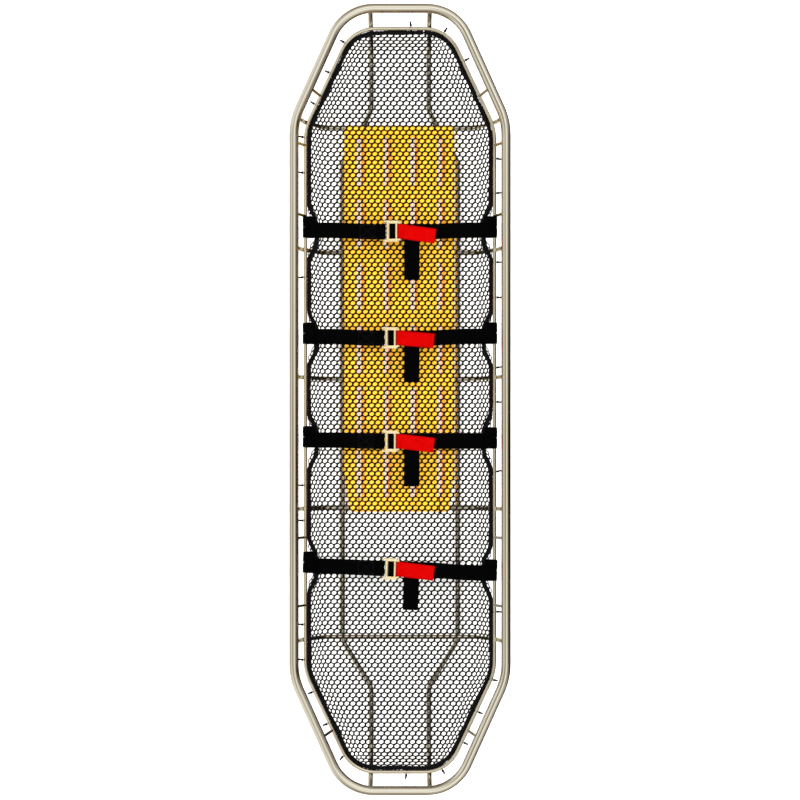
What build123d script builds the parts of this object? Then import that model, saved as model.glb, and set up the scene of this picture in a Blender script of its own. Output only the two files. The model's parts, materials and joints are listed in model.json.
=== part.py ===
from build123d import *
import os
from math import atan2, cos, degrees, radians, sin, sqrt, tan

# A basket rescue litter: a steel rail basket with a net lining, a yellow back panel and four patient
# straps. +X is the patient's left, +Y the head end, +Z up. The origin is on the ground at mid-length.

# Overall size, mm
litter_length = 2134.0
litter_width = 597.0
litter_height = 190.0

# Rods and tubes
rail_dia = 25.4
rail_wall = 1.65
net_rail_dia = 9.5
rib_dia = 12.0
runner_dia = 12.7
strut_dia = 8.0
joint_y = 18.0          # the rails' two halves meet here
joint_gap = 0.5
sleeve_length = 80.0
sleeve_gap = 0.05
weld_gap = 0.05

# Heights of the centrelines above the ground
rail_z = litter_height - rail_dia / 2
net_rail_z = 112.0
runner_z = runner_dia / 2
rib_z = runner_dia + rib_dia / 2 + weld_gap

# Plan outlines of the two rails: half an octagon, mirrored both ways
top_outline = {
    "half_width": litter_width / 2 - rail_dia / 2,
    "shoulder_y": 750.3,
    "nose_x": 148.8,
    "half_length": litter_length / 2 - rail_dia / 2,
    "shoulder_radius": 175.0,
    "nose_radius": 120.0,
}
net_outline = {
    "half_width": 258.0,
    "shoulder_y": 742.0,
    "nose_x": 130.0,
    "half_length": 1014.0,
    "shoulder_radius": 150.0,
    "nose_radius": 100.0,
}

# Ribs, runners and struts
rib_stations = [760.0, 412.0, 63.0, -296.0, -654.0]
rib_floor_x = 212.0
rib_bend_radius = 60.0
rib_floor_radius = 45.0
rib_lean = 28.0         # degrees from upright between the two rails
runner_lean = 29.0
rod_side_step = 0.9     # room for the bend where a rod passes outside the net rail
runner_end_x = 80.0
runner_side_x = 160.0
runner_floor_y = 968.0
dog_leg_head = (808.0, 669.0)
dog_leg_foot = (-665.0, -793.0)
dog_leg_radius = 60.0
side_strut_stations = [695.0, 503.0, -374.0, -559.0]
slant_strut_stations = [842.0, -913.0]
slant_strut_run = 31.0  # how far a slanting end's strut runs inwards in plan

# Back panel
panel_width = 305.0
panel_head_y = 761.0
panel_foot_y = -306.0
panel_thickness = 8.0
panel_z = rib_z + rib_dia / 2 + 0.2
panel_shift_x = -2.0
panel_taper_length = 110.0
panel_taper_inset = 16.0
panel_corner_radius = 12.0
panel_edge_radius = 1.5
slot_length = 136.0
slot_width = 13.0
slot_columns = 4
slot_rows = 6
slot_column_pitch = 74.5
slot_row_pitch = 173.0
slot_first_y = 664.0    # centre of the row next to the head edge
groove_width = 8.0
groove_depth = 2.0
groove_overlap = 1.0    # how far a groove reaches into its slot

# Lashings of the panel
lash_dia = 2.6
lash_gap = 0.3
lash_head_x = 93.0
lash_bend_radius = 2.5
lash_open = 0.001       # the loop's two ends all but meet

# Net, its border cord and the ties
net_thickness = 1.5
net_floor_z = panel_z + panel_thickness + 2 * lash_gap + lash_dia + 0.2
net_floor_inset = 47.0
net_top_inset = 11.5
net_top_z = 93.5
net_seam_gap = 0.4
cord_dia = 10.0
cord_inset = 9.0
cord_z = 101.0
cord_pull = 20.0        # how far each strap draws the border cord inwards
cord_pull_near = 34.0
cord_pull_far = 72.0
cord_pull_radius = 40.0
cord_shoulder_radius = 140.0
cord_nose_radius = 90.0
cord_half_gap = 0.5
tie_pitch = 95.0
tie_band = 4.5
tie_wall = 1.2
tie_gap = 0.4
tie_head = 5.5
tie_head_height = 4.4
tie_tail = 12.0
tie_tail_overlap = 1.0
tie_clear_rod = 14.0    # no tie this near to a rod or joint along a side
tie_clear_runner = 16.0
tie_clear_pull = 12.0   # nor this near to where the cord is drawn inwards

# Patient straps: station, tilt in plan, how far the buckle sits to the side, tilt of the release tab,
# and how far the folded tail hangs below the strap
straps = [
    {"y": 459.0, "tilt": 0.0, "shift": 4.0, "tab_tilt": 8.0, "tail": 128.0},
    {"y": 169.0, "tilt": 0.0, "shift": 0.0, "tab_tilt": 5.0, "tail": 118.0},
    {"y": -112.0, "tilt": 0.0, "shift": 0.0, "tab_tilt": 6.7, "tail": 123.0},
    {"y": -460.0, "tilt": -1.8, "shift": 0.0, "tab_tilt": 5.3, "tail": 113.0},
]
web_width = 42.0
web_thickness = 2.0
web_gap = 0.3
hitch_length = 58.0
hitch_offset = 9.0      # the hitch sits this far towards the head from the strap's middle
hitch_radius = 9.5
hitch_clearance = 1.1
hitch_flap = 26.0
hitch_flap_thickness = 8.0
hitch_flap_radius = 3.0
strap_end_x = net_outline["half_width"] - hitch_flap

# Buckle, seen along its width: x from the basket's centreline, z from the ground
bar_radius = 2.0
loop_radius = bar_radius + web_gap + web_thickness / 2
web_z = 117.0           # middle of the band that crosses the basket
wrap_bar = (-37.0, web_z + loop_radius)
anchor_bar = (-47.0, web_z + loop_radius)
top_web_z = web_z + 2 * loop_radius
hub_radius = 4.0
tooth_reach = 5.2
pin_radius = 2.0
pin_z = top_web_z + web_thickness / 2 + web_gap + tooth_reach
pin_x = wrap_bar[0]
cheek_inner = 25.0
cheek_thickness = 3.5
cheek_left = -50.5
cheek_right = -6.0
cheek_low = web_z - 3.1
cheek_high = pin_z + 4.5
cheek_radius = 4.0
plate_left = -26.5
plate_right = -10.0
plate_thickness = 1.8
arm_inner = 21.0
arm_thickness = 3.5
arm_height = 8.0
front_bar_reach = 23.0  # from the pin to the lever's bare cross bar
front_bar_radius = 2.9
lever_length = 32.0     # from the pin to the bar that holds the release tab
grip_radius = 2.5
tooth_count = 6
tooth_size = 1.2
tooth_start = -83.0
tooth_arc = 66.0
end_overlap = 0.5       # how far a cross bar runs into the side pieces
bore_clearance = 0.06
pin_fit = 0.02
pin_head_radius = 3.2
pin_head_height = 1.0
pin_end_gap = 0.05
spring_pocket_radius = 3.3
spring_pocket_depth = 12.0
spring_end_room = 1.0
spring_mean_radius = 2.65
spring_wire = 0.7
spring_pitch = 1.2

# Release tab: a folded strip of webbing looped round the lever's grip bar
tab_width = 40.0
tab_reach = 98.0
tab_thickness = 4.2
tab_edge_radius = 1.0
tab_loop_inner = grip_radius + web_gap
tab_loop_outer = tab_loop_inner + web_thickness

# Folded tail of each right-hand web
fold_centre_x = 32.0
second_ply_z = web_z + web_thickness + 0.3
tail_ply_z = second_ply_z + web_thickness - 0.1
tail_end_z = 84.0
fold_overlap = 1.0      # how far the plies of the fold run into each other
tail_flat = 14.0
tail_middle = (0.54, 0.32)     # shares of its reach and of its drop where it bends again
tail_bend_radius = 30.0

# Folds of the two webs beside the buckle, as distances from their bars
splice_far = 70.0
splice_near = 22.0
splice_flat = 6.0
splice_radius = 8.0
wrap_flat = 20.0
wrap_down = 42.0
wrap_radius = 14.0

os.makedirs("parts", exist_ok=True)


def save(piece, name):
    piece.part.label = name
    export_step(piece.part, f"parts/{name}.step")


# Outline geometry ---------------------------------------------------------------------------------

def slant_angle(outline):
    width = outline["half_width"] - outline["nose_x"]
    length = outline["half_length"] - outline["shoulder_y"]
    return atan2(width, length)


def inset(outline, distance):
    # The same octagon, moved inwards all round
    slant = slant_angle(outline)
    return {
        "half_width": outline["half_width"] - distance,
        "shoulder_y": outline["shoulder_y"] - distance * tan(slant / 2),
        "nose_x": outline["nose_x"] - distance * (1 - sin(slant)) / cos(slant),
        "half_length": outline["half_length"] - distance,
    }


def octagon(outline, z):
    a, b = outline["half_width"], outline["half_length"]
    s, n = outline["shoulder_y"], outline["nose_x"]
    return [(a, s, z), (n, b, z), (-n, b, z), (-a, s, z), (-a, -s, z), (-n, -b, z), (n, -b, z), (a, -s, z)]


def outline_x(outline, y):
    # Half width of the rounded outline at station y
    slant = slant_angle(outline)
    radius = outline["shoulder_radius"]
    bend_start = outline["shoulder_y"] - radius * tan(slant / 2)
    along = abs(y) - bend_start
    if along <= 0:
        return outline["half_width"]
    if along < radius * sin(slant):
        return outline["half_width"] - radius + sqrt(radius**2 - along**2)
    return outline["half_width"] - (abs(y) - outline["shoulder_y"]) * tan(slant)


def half_route(outline, z, end, gap):
    # One end of a rail, from its joint on one side round to its joint on the other
    a, b = outline["half_width"], outline["half_length"] * end
    s, n = outline["shoulder_y"] * end, outline["nose_x"]
    start = joint_y + end * gap / 2
    points = [(-a, start, z), (-a, s, z), (-n, b, z), (n, b, z), (a, s, z), (a, start, z)]
    shoulder, nose = outline["shoulder_radius"], outline["nose_radius"]
    return FilletPolyline(*points, radius=[shoulder, nose, nose, shoulder])


def section_plane(route):
    return Plane(origin=route @ 0, z_dir=route % 0)


# Rails --------------------------------------------------------------------------------------------

def rail_half(outline, z, end, outer, inner, gap):
    with BuildPart() as rail:
        with BuildLine() as route:
            half_route(outline, z, end, gap)
        with BuildSketch(section_plane(route.wire())):
            Circle(outer)
            if inner > 0:
                Circle(inner, mode=Mode.SUBTRACT)
        sweep()
    return rail


rail_cores = [rail_half(top_outline, rail_z, end, rail_dia / 2, 0, joint_gap) for end in (1, -1)]
net_rail_cores = [rail_half(net_outline, net_rail_z, end, net_rail_dia / 2, 0, joint_gap) for end in (1, -1)]

for end, name in ((1, "head"), (-1, "foot")):
    inner_radius = rail_dia / 2 - rail_wall
    save(rail_half(top_outline, rail_z, end, rail_dia / 2, inner_radius, joint_gap), f"top_rail_{name}")
save(net_rail_cores[0], "net_rail_head")
save(net_rail_cores[1], "net_rail_foot")

with BuildPart() as rail_sleeves:
    sleeve_radius = rail_dia / 2 - rail_wall - sleeve_gap
    for side in (1, -1):
        sleeve_end = (side * top_outline["half_width"], joint_y - sleeve_length / 2, rail_z)
        with BuildSketch(Plane(origin=sleeve_end, z_dir=(0, 1, 0))):
            Circle(sleeve_radius)
            Circle(sleeve_radius - rail_wall, mode=Mode.SUBTRACT)
        extrude(amount=sleeve_length)
save(rail_sleeves, "rail_sleeves")


# Ribs, runners and struts --------------------------------------------------------------------------

def cope(cores):
    # Cuts a rod's end to the rail that it is welded to
    for core in cores:
        add(core.part, mode=Mode.SUBTRACT)


def outside_net_rail(rail_position, rod_dia, lean):
    # The point where a rod that leans in by this angle passes behind the net rail
    away = (net_rail_dia + rod_dia) / 2 + rod_side_step
    return rail_position + away * cos(lean), net_rail_z - away * sin(lean)


def make_rib(y):
    lean = radians(rib_lean)
    top_x = outline_x(top_outline, y)
    widest_y = abs(y) - rib_dia / 2
    bend_x, bend_z = outside_net_rail(outline_x(net_outline, widest_y), rib_dia, lean)
    side = [(top_x, rail_z), (bend_x, bend_z), (rib_floor_x, rib_z)]
    points = [(x, y, z) for x, z in side] + [(-x, y, z) for x, z in reversed(side)]
    radii = [rib_bend_radius, rib_floor_radius, rib_floor_radius, rib_bend_radius]
    with BuildPart() as rib:
        with BuildLine() as route:
            FilletPolyline(*points, radius=radii)
        with BuildSketch(section_plane(route.wire())):
            Circle(rib_dia / 2)
        sweep()
        cope(rail_cores)
    return rib


for number, y in enumerate(rib_stations, start=1):
    save(make_rib(y), f"rib_{number}")


def runner_end(end):
    lean = radians(runner_lean)
    bend_y, bend_z = outside_net_rail(net_outline["half_length"], runner_dia, lean)
    return [(top_outline["half_length"] * end, rail_z), (bend_y * end, bend_z), (runner_floor_y * end, runner_z)]


def make_runner(side):
    head = [(side * runner_end_x, y, z) for y, z in runner_end(1)]
    foot = [(side * runner_end_x, y, z) for y, z in reversed(runner_end(-1))]
    floor = [
        (side * runner_end_x, dog_leg_head[0], runner_z),
        (side * runner_side_x, dog_leg_head[1], runner_z),
        (side * runner_side_x, dog_leg_foot[0], runner_z),
        (side * runner_end_x, dog_leg_foot[1], runner_z),
    ]
    end_radii = [rib_bend_radius, rib_floor_radius]
    radii = end_radii + [dog_leg_radius] * 4 + end_radii[::-1]
    with BuildPart() as runner:
        with BuildLine() as route:
            FilletPolyline(*head, *floor, *foot, radius=radii)
        with BuildSketch(section_plane(route.wire())):
            Circle(runner_dia / 2)
        sweep()
        cope(rail_cores)
    return runner


save(make_runner(-1), "runner_left")
save(make_runner(1), "runner_right")


def strut_ends():
    # Pairs of points on the two rails' centrelines
    slant = slant_angle(top_outline)
    for y in side_strut_stations:
        yield (outline_x(top_outline, y), y), (outline_x(net_outline, y), y)
    for y in slant_strut_stations:
        end = 1 if y > 0 else -1
        top = (outline_x(top_outline, y), y)
        yield top, (top[0] - slant_strut_run * cos(slant), y - end * slant_strut_run * sin(slant))


with BuildPart() as rail_struts:
    for top, low in strut_ends():
        for side in (1, -1):
            start = Vector(side * top[0], top[1], rail_z)
            finish = Vector(side * low[0], low[1], net_rail_z)
            with BuildSketch(Plane(origin=start, z_dir=finish - start)):
                Circle(strut_dia / 2)
            extrude(amount=(finish - start).length)
    cope(rail_cores)
    cope(net_rail_cores)
save(rail_struts, "rail_struts")


# Back panel and its lashings -----------------------------------------------------------------------

half_panel = panel_width / 2
slot_middle_y = slot_first_y - slot_row_pitch * (slot_rows - 1) / 2
slot_grid = (slot_column_pitch, slot_row_pitch, slot_columns, slot_rows)

with BuildPart() as back_panel:
    with BuildSketch(Plane((panel_shift_x, 0, panel_z))) as panel_plan:
        taper_y = panel_foot_y + panel_taper_length
        foot_x = half_panel - panel_taper_inset
        with BuildLine():
            Polyline(
                (-half_panel, panel_head_y),
                (half_panel, panel_head_y),
                (half_panel, taper_y),
                (foot_x, panel_foot_y),
                (-foot_x, panel_foot_y),
                (-half_panel, taper_y),
                close=True,
            )
        make_face()
        fillet(panel_plan.vertices(), panel_corner_radius)
    extrude(amount=panel_thickness)
    fillet(back_panel.faces().sort_by(Axis.Z)[-1].edges(), panel_edge_radius)
    with BuildSketch(Plane((panel_shift_x, slot_middle_y, panel_z))):
        with GridLocations(*slot_grid):
            SlotOverall(slot_length, slot_width, rotation=90)
    extrude(amount=panel_thickness, mode=Mode.SUBTRACT)
    groove_x = panel_shift_x + (slot_width + groove_width) / 2 - groove_overlap
    with BuildSketch(Plane((groove_x, slot_middle_y, panel_z + panel_thickness))):
        with GridLocations(*slot_grid):
            SlotOverall(slot_length - slot_width, groove_width + 2 * groove_overlap, rotation=90)
    extrude(amount=-groove_depth, mode=Mode.SUBTRACT)
save(back_panel, "back_panel")

outer_column = (slot_columns - 1) / 2 * slot_column_pitch
lash_half = lash_gap + lash_dia / 2
lash_top_z = panel_z + panel_thickness + lash_half
lash_low_z = rib_z - rib_dia / 2 - lash_half
head_slot_y = slot_first_y + slot_length / 2 - lash_half
foot_slot_y = slot_first_y - slot_row_pitch * (slot_rows - 1) - slot_length / 2 + lash_half


def lash_loop(slot_x, edge_x, slot_y, edge_y, rib_near_y):
    # Upright loop: from the slot over the panel's edge, down, under the rib and back up
    along = (rib_near_y - slot_y) / (edge_y - slot_y)
    near_x = slot_x + (edge_x - slot_x) * along
    middle = ((slot_x + edge_x) / 2, (slot_y + edge_y) / 2, lash_top_z)
    return middle, [
        (edge_x, edge_y, lash_top_z),
        (edge_x, edge_y, lash_low_z),
        (near_x, rib_near_y, lash_low_z),
        (slot_x, slot_y, rib_z),
        (slot_x, slot_y, lash_top_z),
    ]


with BuildPart() as panel_ties:
    rib_reach = rib_dia / 2 + lash_half
    for side in (1, -1):
        slot_x = panel_shift_x + side * outer_column
        head_edge = max(panel_head_y, rib_stations[0] + rib_dia / 2) + lash_half
        foot_edge = min(panel_foot_y, rib_stations[3] - rib_dia / 2) - lash_half
        head_loop = lash_loop(slot_x, side * lash_head_x, head_slot_y, head_edge, rib_stations[0] - rib_reach)
        foot_loop = lash_loop(slot_x, slot_x, foot_slot_y, foot_edge, rib_stations[3] + rib_reach)
        for middle, corners in (head_loop, foot_loop):
            with BuildLine() as route:
                last = Vector(*middle) - Vector(0, 0, lash_open)
                FilletPolyline(middle, *corners, last, radius=lash_bend_radius)
            with BuildSketch(section_plane(route.wire())):
                Circle(lash_dia / 2)
            sweep()
save(panel_ties, "panel_ties")


# Net ----------------------------------------------------------------------------------------------

def net_wall(corners):
    # The flat face on four corners that lie in one plane, the first two along the floor
    foot_a, foot_b, top_b, top_a = [Vector(*corner) for corner in corners]
    outward = (foot_b - foot_a).cross(top_a - foot_a)
    if outward.dot(Vector(foot_a.X, foot_a.Y, 0)) < 0:
        outward = -outward
    wall_plane = Plane(origin=foot_a, x_dir=foot_b - foot_a, z_dir=outward)
    outline = [wall_plane.to_local_coords(point) for point in (foot_a, foot_b, top_b, top_a)]
    with BuildSketch(wall_plane) as wall:
        with BuildLine():
            Polyline(*[(point.X, point.Y) for point in outline], close=True)
        make_face()
    return wall.sketch


with BuildPart() as net:
    floor_outline = inset(net_outline, net_floor_inset + net_seam_gap)
    with BuildSketch(Plane.XY.offset(net_floor_z)):
        with BuildLine():
            Polyline(*[(x, y) for x, y, _ in octagon(floor_outline, 0)], close=True)
        make_face()
    extrude(amount=net_thickness)
    wall_foot = octagon(inset(net_outline, net_floor_inset), net_floor_z + net_thickness + net_seam_gap)
    wall_top = octagon(inset(net_outline, net_top_inset), net_top_z)
    for index in range(8):
        following = (index + 1) % 8
        corners = (wall_foot[index], wall_foot[following], wall_top[following], wall_top[index])
        extrude(net_wall(corners), amount=net_thickness)
save(net, "net")


def cord_route(side):
    # Half of the border cord, drawn inwards where each strap passes over it
    border = inset(net_outline, cord_inset)
    a, b, s, n = [border[key] for key in ("half_width", "half_length", "shoulder_y", "nose_x")]
    points = [(cord_half_gap, b), (n, b), (a, s)]
    radii = [cord_nose_radius, cord_shoulder_radius]
    for strap in straps:
        y = strap["y"] + a * side * tan(radians(strap["tilt"]))
        near, far = cord_pull_near, cord_pull_far
        for offset, pull in ((far, 0), (near, cord_pull), (-near, cord_pull), (-far, 0)):
            points.append((a - pull, y + offset))
            radii.append(cord_pull_radius)
    points += [(a, -s), (n, -b), (cord_half_gap, -b)]
    radii += [cord_shoulder_radius, cord_nose_radius]
    return FilletPolyline(*[(side * x, y, cord_z) for x, y in points], radius=radii)


with BuildPart() as net_edge_cord:
    for side in (1, -1):
        with BuildLine() as route:
            cord_route(side)
        with BuildSketch(section_plane(route.wire())):
            Circle(cord_dia / 2)
        sweep()
save(net_edge_cord, "net_edge_cord")


# Cable ties ----------------------------------------------------------------------------------------

def tie_stations(route):
    # Even steps along the net rail, leaving out the straps, ribs, struts and runners
    busy = [(y, tie_clear_rod) for y in rib_stations + side_strut_stations + slant_strut_stations + [joint_y]]
    busy += [(strap["y"], cord_pull_far + tie_clear_pull) for strap in straps]
    steps = round(route.length / tie_pitch)
    for step in range(steps):
        place = route.position_at((step + 0.5) / steps)
        along = route.tangent_at((step + 0.5) / steps)
        on_end = abs(along.X) > 0.9    # along the end rather than a side
        if on_end and abs(abs(place.X) - runner_end_x) < tie_clear_runner:
            continue
        if not on_end and any(abs(place.Y - y) < reach for y, reach in busy):
            continue
        outward = Vector(along.Y, -along.X, 0)
        yield place, outward if outward.dot(Vector(place.X, place.Y, 0)) > 0 else -outward


def tie_section(place, outward):
    across = Vector(-cord_inset, cord_z - net_rail_z)
    turn = degrees(atan2(across.Y, across.X))
    inner = net_rail_dia / 2 + tie_gap
    with BuildSketch(Plane(origin=place, x_dir=outward, z_dir=outward.cross(Vector(0, 0, 1)))) as tie:
        with Locations((across.X / 2, across.Y / 2)):
            SlotCenterToCenter(across.length, 2 * (inner + tie_wall), rotation=turn)
        with Locations((inner + tie_head / 2, inner)):
            Rectangle(tie_head, tie_head_height)
        with Locations((inner + tie_head + tie_tail / 2 - tie_tail_overlap, inner)):
            Rectangle(tie_tail, tie_wall)
        with Locations((across.X / 2, across.Y / 2)):
            SlotCenterToCenter(across.length, 2 * inner, rotation=turn, mode=Mode.SUBTRACT)
    return tie.sketch


with BuildPart() as net_ties:
    for end in (1, -1):
        with BuildLine() as rail_route:
            half_route(net_outline, net_rail_z, end, joint_gap)
        for place, outward in tie_stations(rail_route.wire()):
            extrude(tie_section(place, outward), amount=tie_band / 2, both=True)
save(net_ties, "net_ties")


# Patient straps ------------------------------------------------------------------------------------

def strap_plane(strap, across=0.0):
    # Upright plane along a strap: its x runs along the strap and its y is up
    turn = radians(strap["tilt"])
    along = Vector(cos(turn), sin(turn), 0)
    width_dir = Vector(-sin(turn), cos(turn), 0)
    origin = Vector(0, strap["y"], 0) + width_dir * across
    return Plane(origin=origin, x_dir=along, z_dir=-width_dir)


def deck_plane(strap, z):
    turn = radians(strap["tilt"])
    return Plane(origin=(0, strap["y"], z), x_dir=(cos(turn), sin(turn), 0), z_dir=(0, 0, 1))


def hitch_section(strap, side):
    # The web's end, passed round the net rail and back through itself
    plane = strap_plane(strap, across=hitch_offset)
    tilt = radians(strap["tilt"])
    rail_x = (side * net_outline["half_width"] + hitch_offset * sin(tilt)) / cos(tilt)
    flap_x = rail_x - side * (hitch_flap / 2 + net_rail_dia / 2)
    with BuildSketch(plane) as hitch:
        with Locations((rail_x, net_rail_z)):
            Circle(hitch_radius)
        with Locations((flap_x, web_z)):
            RectangleRounded(hitch_flap, hitch_flap_thickness, hitch_flap_radius)
        with Locations((rail_x, net_rail_z)):
            Circle(net_rail_dia / 2 + hitch_clearance, mode=Mode.SUBTRACT)
    return hitch.sketch


def make_webbing_left(strap):
    x = anchor_bar[0] + strap["shift"]
    with BuildPart() as webbing:
        with BuildSketch(strap_plane(strap)):
            with BuildLine():
                doubled = FilletPolyline(
                    (x - splice_far, second_ply_z),
                    (x - splice_near, second_ply_z),
                    (x - splice_flat, top_web_z),
                    (x, top_web_z),
                    radius=splice_radius,
                )
                turn = TangentArc(doubled @ 1, (x, web_z), tangent=(1, 0))
                Line(turn @ 1, (-strap_end_x, web_z))
            trace(line_width=web_thickness)
        extrude(amount=web_width / 2, both=True)
        extrude(hitch_section(strap, -1), amount=hitch_length / 2, both=True)
    return webbing


def make_webbing_right(strap):
    x = wrap_bar[0] + strap["shift"]
    half = web_width / 2
    left, right = fold_centre_x - half, fold_centre_x + half
    low = -half - 2 * fold_overlap
    with BuildPart() as webbing:
        with BuildSketch(strap_plane(strap)):
            with BuildLine():
                lower = Line((strap_end_x, web_z), (x, web_z))
                turn = TangentArc(lower @ 1, (x, top_web_z), tangent=(-1, 0))
                FilletPolyline(
                    turn @ 1,
                    (x + wrap_flat, top_web_z),
                    (x + wrap_down, second_ply_z),
                    (left + fold_overlap, second_ply_z),
                    radius=wrap_radius,
                )
            trace(line_width=web_thickness)
        extrude(amount=web_width / 2, both=True)
        extrude(hitch_section(strap, 1), amount=hitch_length / 2, both=True)
        with BuildSketch(deck_plane(strap, second_ply_z - web_thickness / 2)):
            with BuildLine():
                Polyline((left, half), (right, half), (left, -half), close=True)
            make_face()
        extrude(amount=web_thickness)
        with BuildSketch(deck_plane(strap, tail_ply_z - web_thickness / 2)):
            with BuildLine():
                Polyline((left, low), (left, -half), (right, half), (right, low), close=True)
            make_face()
        extrude(amount=web_thickness)
        with BuildSketch(tail_plane(strap)):
            with BuildLine():
                tail_curve(strap)
            trace(line_width=web_thickness)
        extrude(amount=web_width / 2, both=True)
    return webbing


def tail_plane(strap):
    # Upright plane across the strap through the middle of the tail: its x runs to the head
    turn = radians(strap["tilt"])
    along = Vector(cos(turn), sin(turn), 0)
    width_dir = Vector(-sin(turn), cos(turn), 0)
    return Plane(origin=Vector(0, strap["y"], 0) + along * fold_centre_x, x_dir=width_dir, z_dir=along)


def tail_curve(strap):
    edge = -web_width / 2 - fold_overlap
    reach = -strap["tail"]
    middle = edge + (reach - edge) * tail_middle[0]
    return FilletPolyline(
        (edge, tail_ply_z),
        (edge - tail_flat, tail_ply_z),
        (middle, tail_ply_z - (tail_ply_z - tail_end_z) * tail_middle[1]),
        (reach, tail_end_z),
        radius=tail_bend_radius,
    )


def make_buckle_frame(strap):
    shift = strap["shift"]
    middle_x = (cheek_left + cheek_right) / 2 + shift
    cheek_middle_z = (cheek_low + cheek_high) / 2
    with BuildPart() as frame:
        for face, reach in ((cheek_inner, cheek_thickness), (-cheek_inner, -cheek_thickness)):
            with BuildSketch(strap_plane(strap, across=face)):
                with Locations((middle_x, cheek_middle_z)):
                    RectangleRounded(cheek_right - cheek_left, cheek_high - cheek_low, cheek_radius)
                with Locations((pin_x + shift, pin_z)):
                    Circle(pin_radius + pin_fit, mode=Mode.SUBTRACT)
            extrude(amount=-reach)
        with BuildSketch(strap_plane(strap)):
            with Locations(((plate_left + plate_right) / 2 + shift, cheek_low + plate_thickness / 2)):
                Rectangle(plate_right - plate_left, plate_thickness)
            with Locations((wrap_bar[0] + shift, wrap_bar[1]), (anchor_bar[0] + shift, anchor_bar[1])):
                Circle(bar_radius)
        extrude(amount=cheek_inner + end_overlap, both=True)
    return frame


def make_cam_lever(strap):
    shift = strap["shift"]
    hub = (pin_x + shift, pin_z)
    front_bar = (hub[0] + front_bar_reach, pin_z)
    grip = (hub[0] + lever_length, pin_z)
    with BuildPart() as lever:
        with BuildSketch(strap_plane(strap)):
            with Locations(hub):
                Circle(hub_radius)
                with PolarLocations(tooth_reach - tooth_size, tooth_count, tooth_start, tooth_arc):
                    RegularPolygon(tooth_size, 3)
            with Locations(front_bar):
                Circle(front_bar_radius)
            with Locations(grip):
                Circle(grip_radius)
        extrude(amount=arm_inner + end_overlap, both=True)
        for face, reach in ((arm_inner, arm_thickness), (-arm_inner, -arm_thickness)):
            with BuildSketch(strap_plane(strap, across=face)):
                with Locations(((hub[0] + grip[0]) / 2, pin_z)):
                    SlotCenterToCenter(lever_length, arm_height)
            extrude(amount=-reach)
        with BuildSketch(strap_plane(strap)):
            with Locations(hub):
                Circle(pin_radius + bore_clearance)
        extrude(amount=cheek_inner, both=True, mode=Mode.SUBTRACT)
        with BuildSketch(strap_plane(strap, across=arm_inner - spring_pocket_depth)):
            with Locations(hub):
                Circle(spring_pocket_radius)
        extrude(amount=-spring_pocket_depth, mode=Mode.SUBTRACT)
    return lever


def make_pivot_pin(strap):
    hub = (pin_x + strap["shift"], pin_z)
    head_face = cheek_inner + cheek_thickness + pin_end_gap
    with BuildPart() as pin:
        with BuildSketch(strap_plane(strap)):
            with Locations(hub):
                Circle(pin_radius)
        extrude(amount=head_face, both=True)
        for face, reach in ((head_face, pin_head_height), (-head_face, -pin_head_height)):
            with BuildSketch(strap_plane(strap, across=face)):
                with Locations(hub):
                    Circle(pin_head_radius)
            extrude(amount=-reach)
    return pin


def make_lever_spring(strap):
    plane = strap_plane(strap, across=arm_inner - spring_pocket_depth + spring_end_room)
    centre = plane.from_local_coords(Vector(pin_x + strap["shift"], pin_z, 0))
    height = spring_pocket_depth - 2 * spring_end_room
    with BuildPart() as spring:
        with BuildLine() as route:
            Helix(spring_pitch, height, spring_mean_radius, center=centre, direction=-plane.z_dir)
        with BuildSketch(section_plane(route.wire())):
            Circle(spring_wire / 2)
        sweep(is_frenet=True)
    return spring


def make_release_tab(strap):
    grip_x = pin_x + strap["shift"] + lever_length
    plane = strap_plane(strap)
    turn = radians(strap["tilt"] - strap["tab_tilt"])
    hinge = plane.from_local_coords(Vector(grip_x + tab_loop_outer, 0, 0))
    tab_plane = Plane(
        origin=(hinge.X, hinge.Y, 0),
        x_dir=(cos(turn), sin(turn), 0),
        z_dir=(sin(turn), -cos(turn), 0),
    )
    with BuildPart() as tab:
        with BuildSketch(plane):
            with Locations((grip_x, pin_z)):
                Circle(tab_loop_outer)
            with Locations((grip_x + tab_loop_outer, pin_z)):
                Rectangle(tab_loop_outer * 1.4, tab_thickness)
            with Locations((grip_x, pin_z)):
                Circle(tab_loop_inner, mode=Mode.SUBTRACT)
        extrude(amount=tab_width / 2, both=True)
        with BuildSketch(tab_plane):
            with Locations((tab_reach / 2 + tab_edge_radius - tab_loop_outer / 2, pin_z)):
                RectangleRounded(tab_reach - tab_loop_outer, tab_thickness, tab_edge_radius)
        extrude(amount=tab_width / 2, both=True)
    return tab


makers = {
    "webbing_left": make_webbing_left,
    "webbing_right": make_webbing_right,
    "buckle_frame": make_buckle_frame,
    "cam_lever": make_cam_lever,
    "pivot_pin": make_pivot_pin,
    "lever_spring": make_lever_spring,
    "release_tab": make_release_tab,
}

for number, strap in enumerate(straps, start=1):
    for name, maker in makers.items():
        save(maker(strap), f"{name}_{number}")
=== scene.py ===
import json
from functools import partial
from math import atan2, cos, pi, radians, sin, tan

import bmesh
import bpy
import numpy as np
from mathutils import Matrix, Vector, noise


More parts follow.
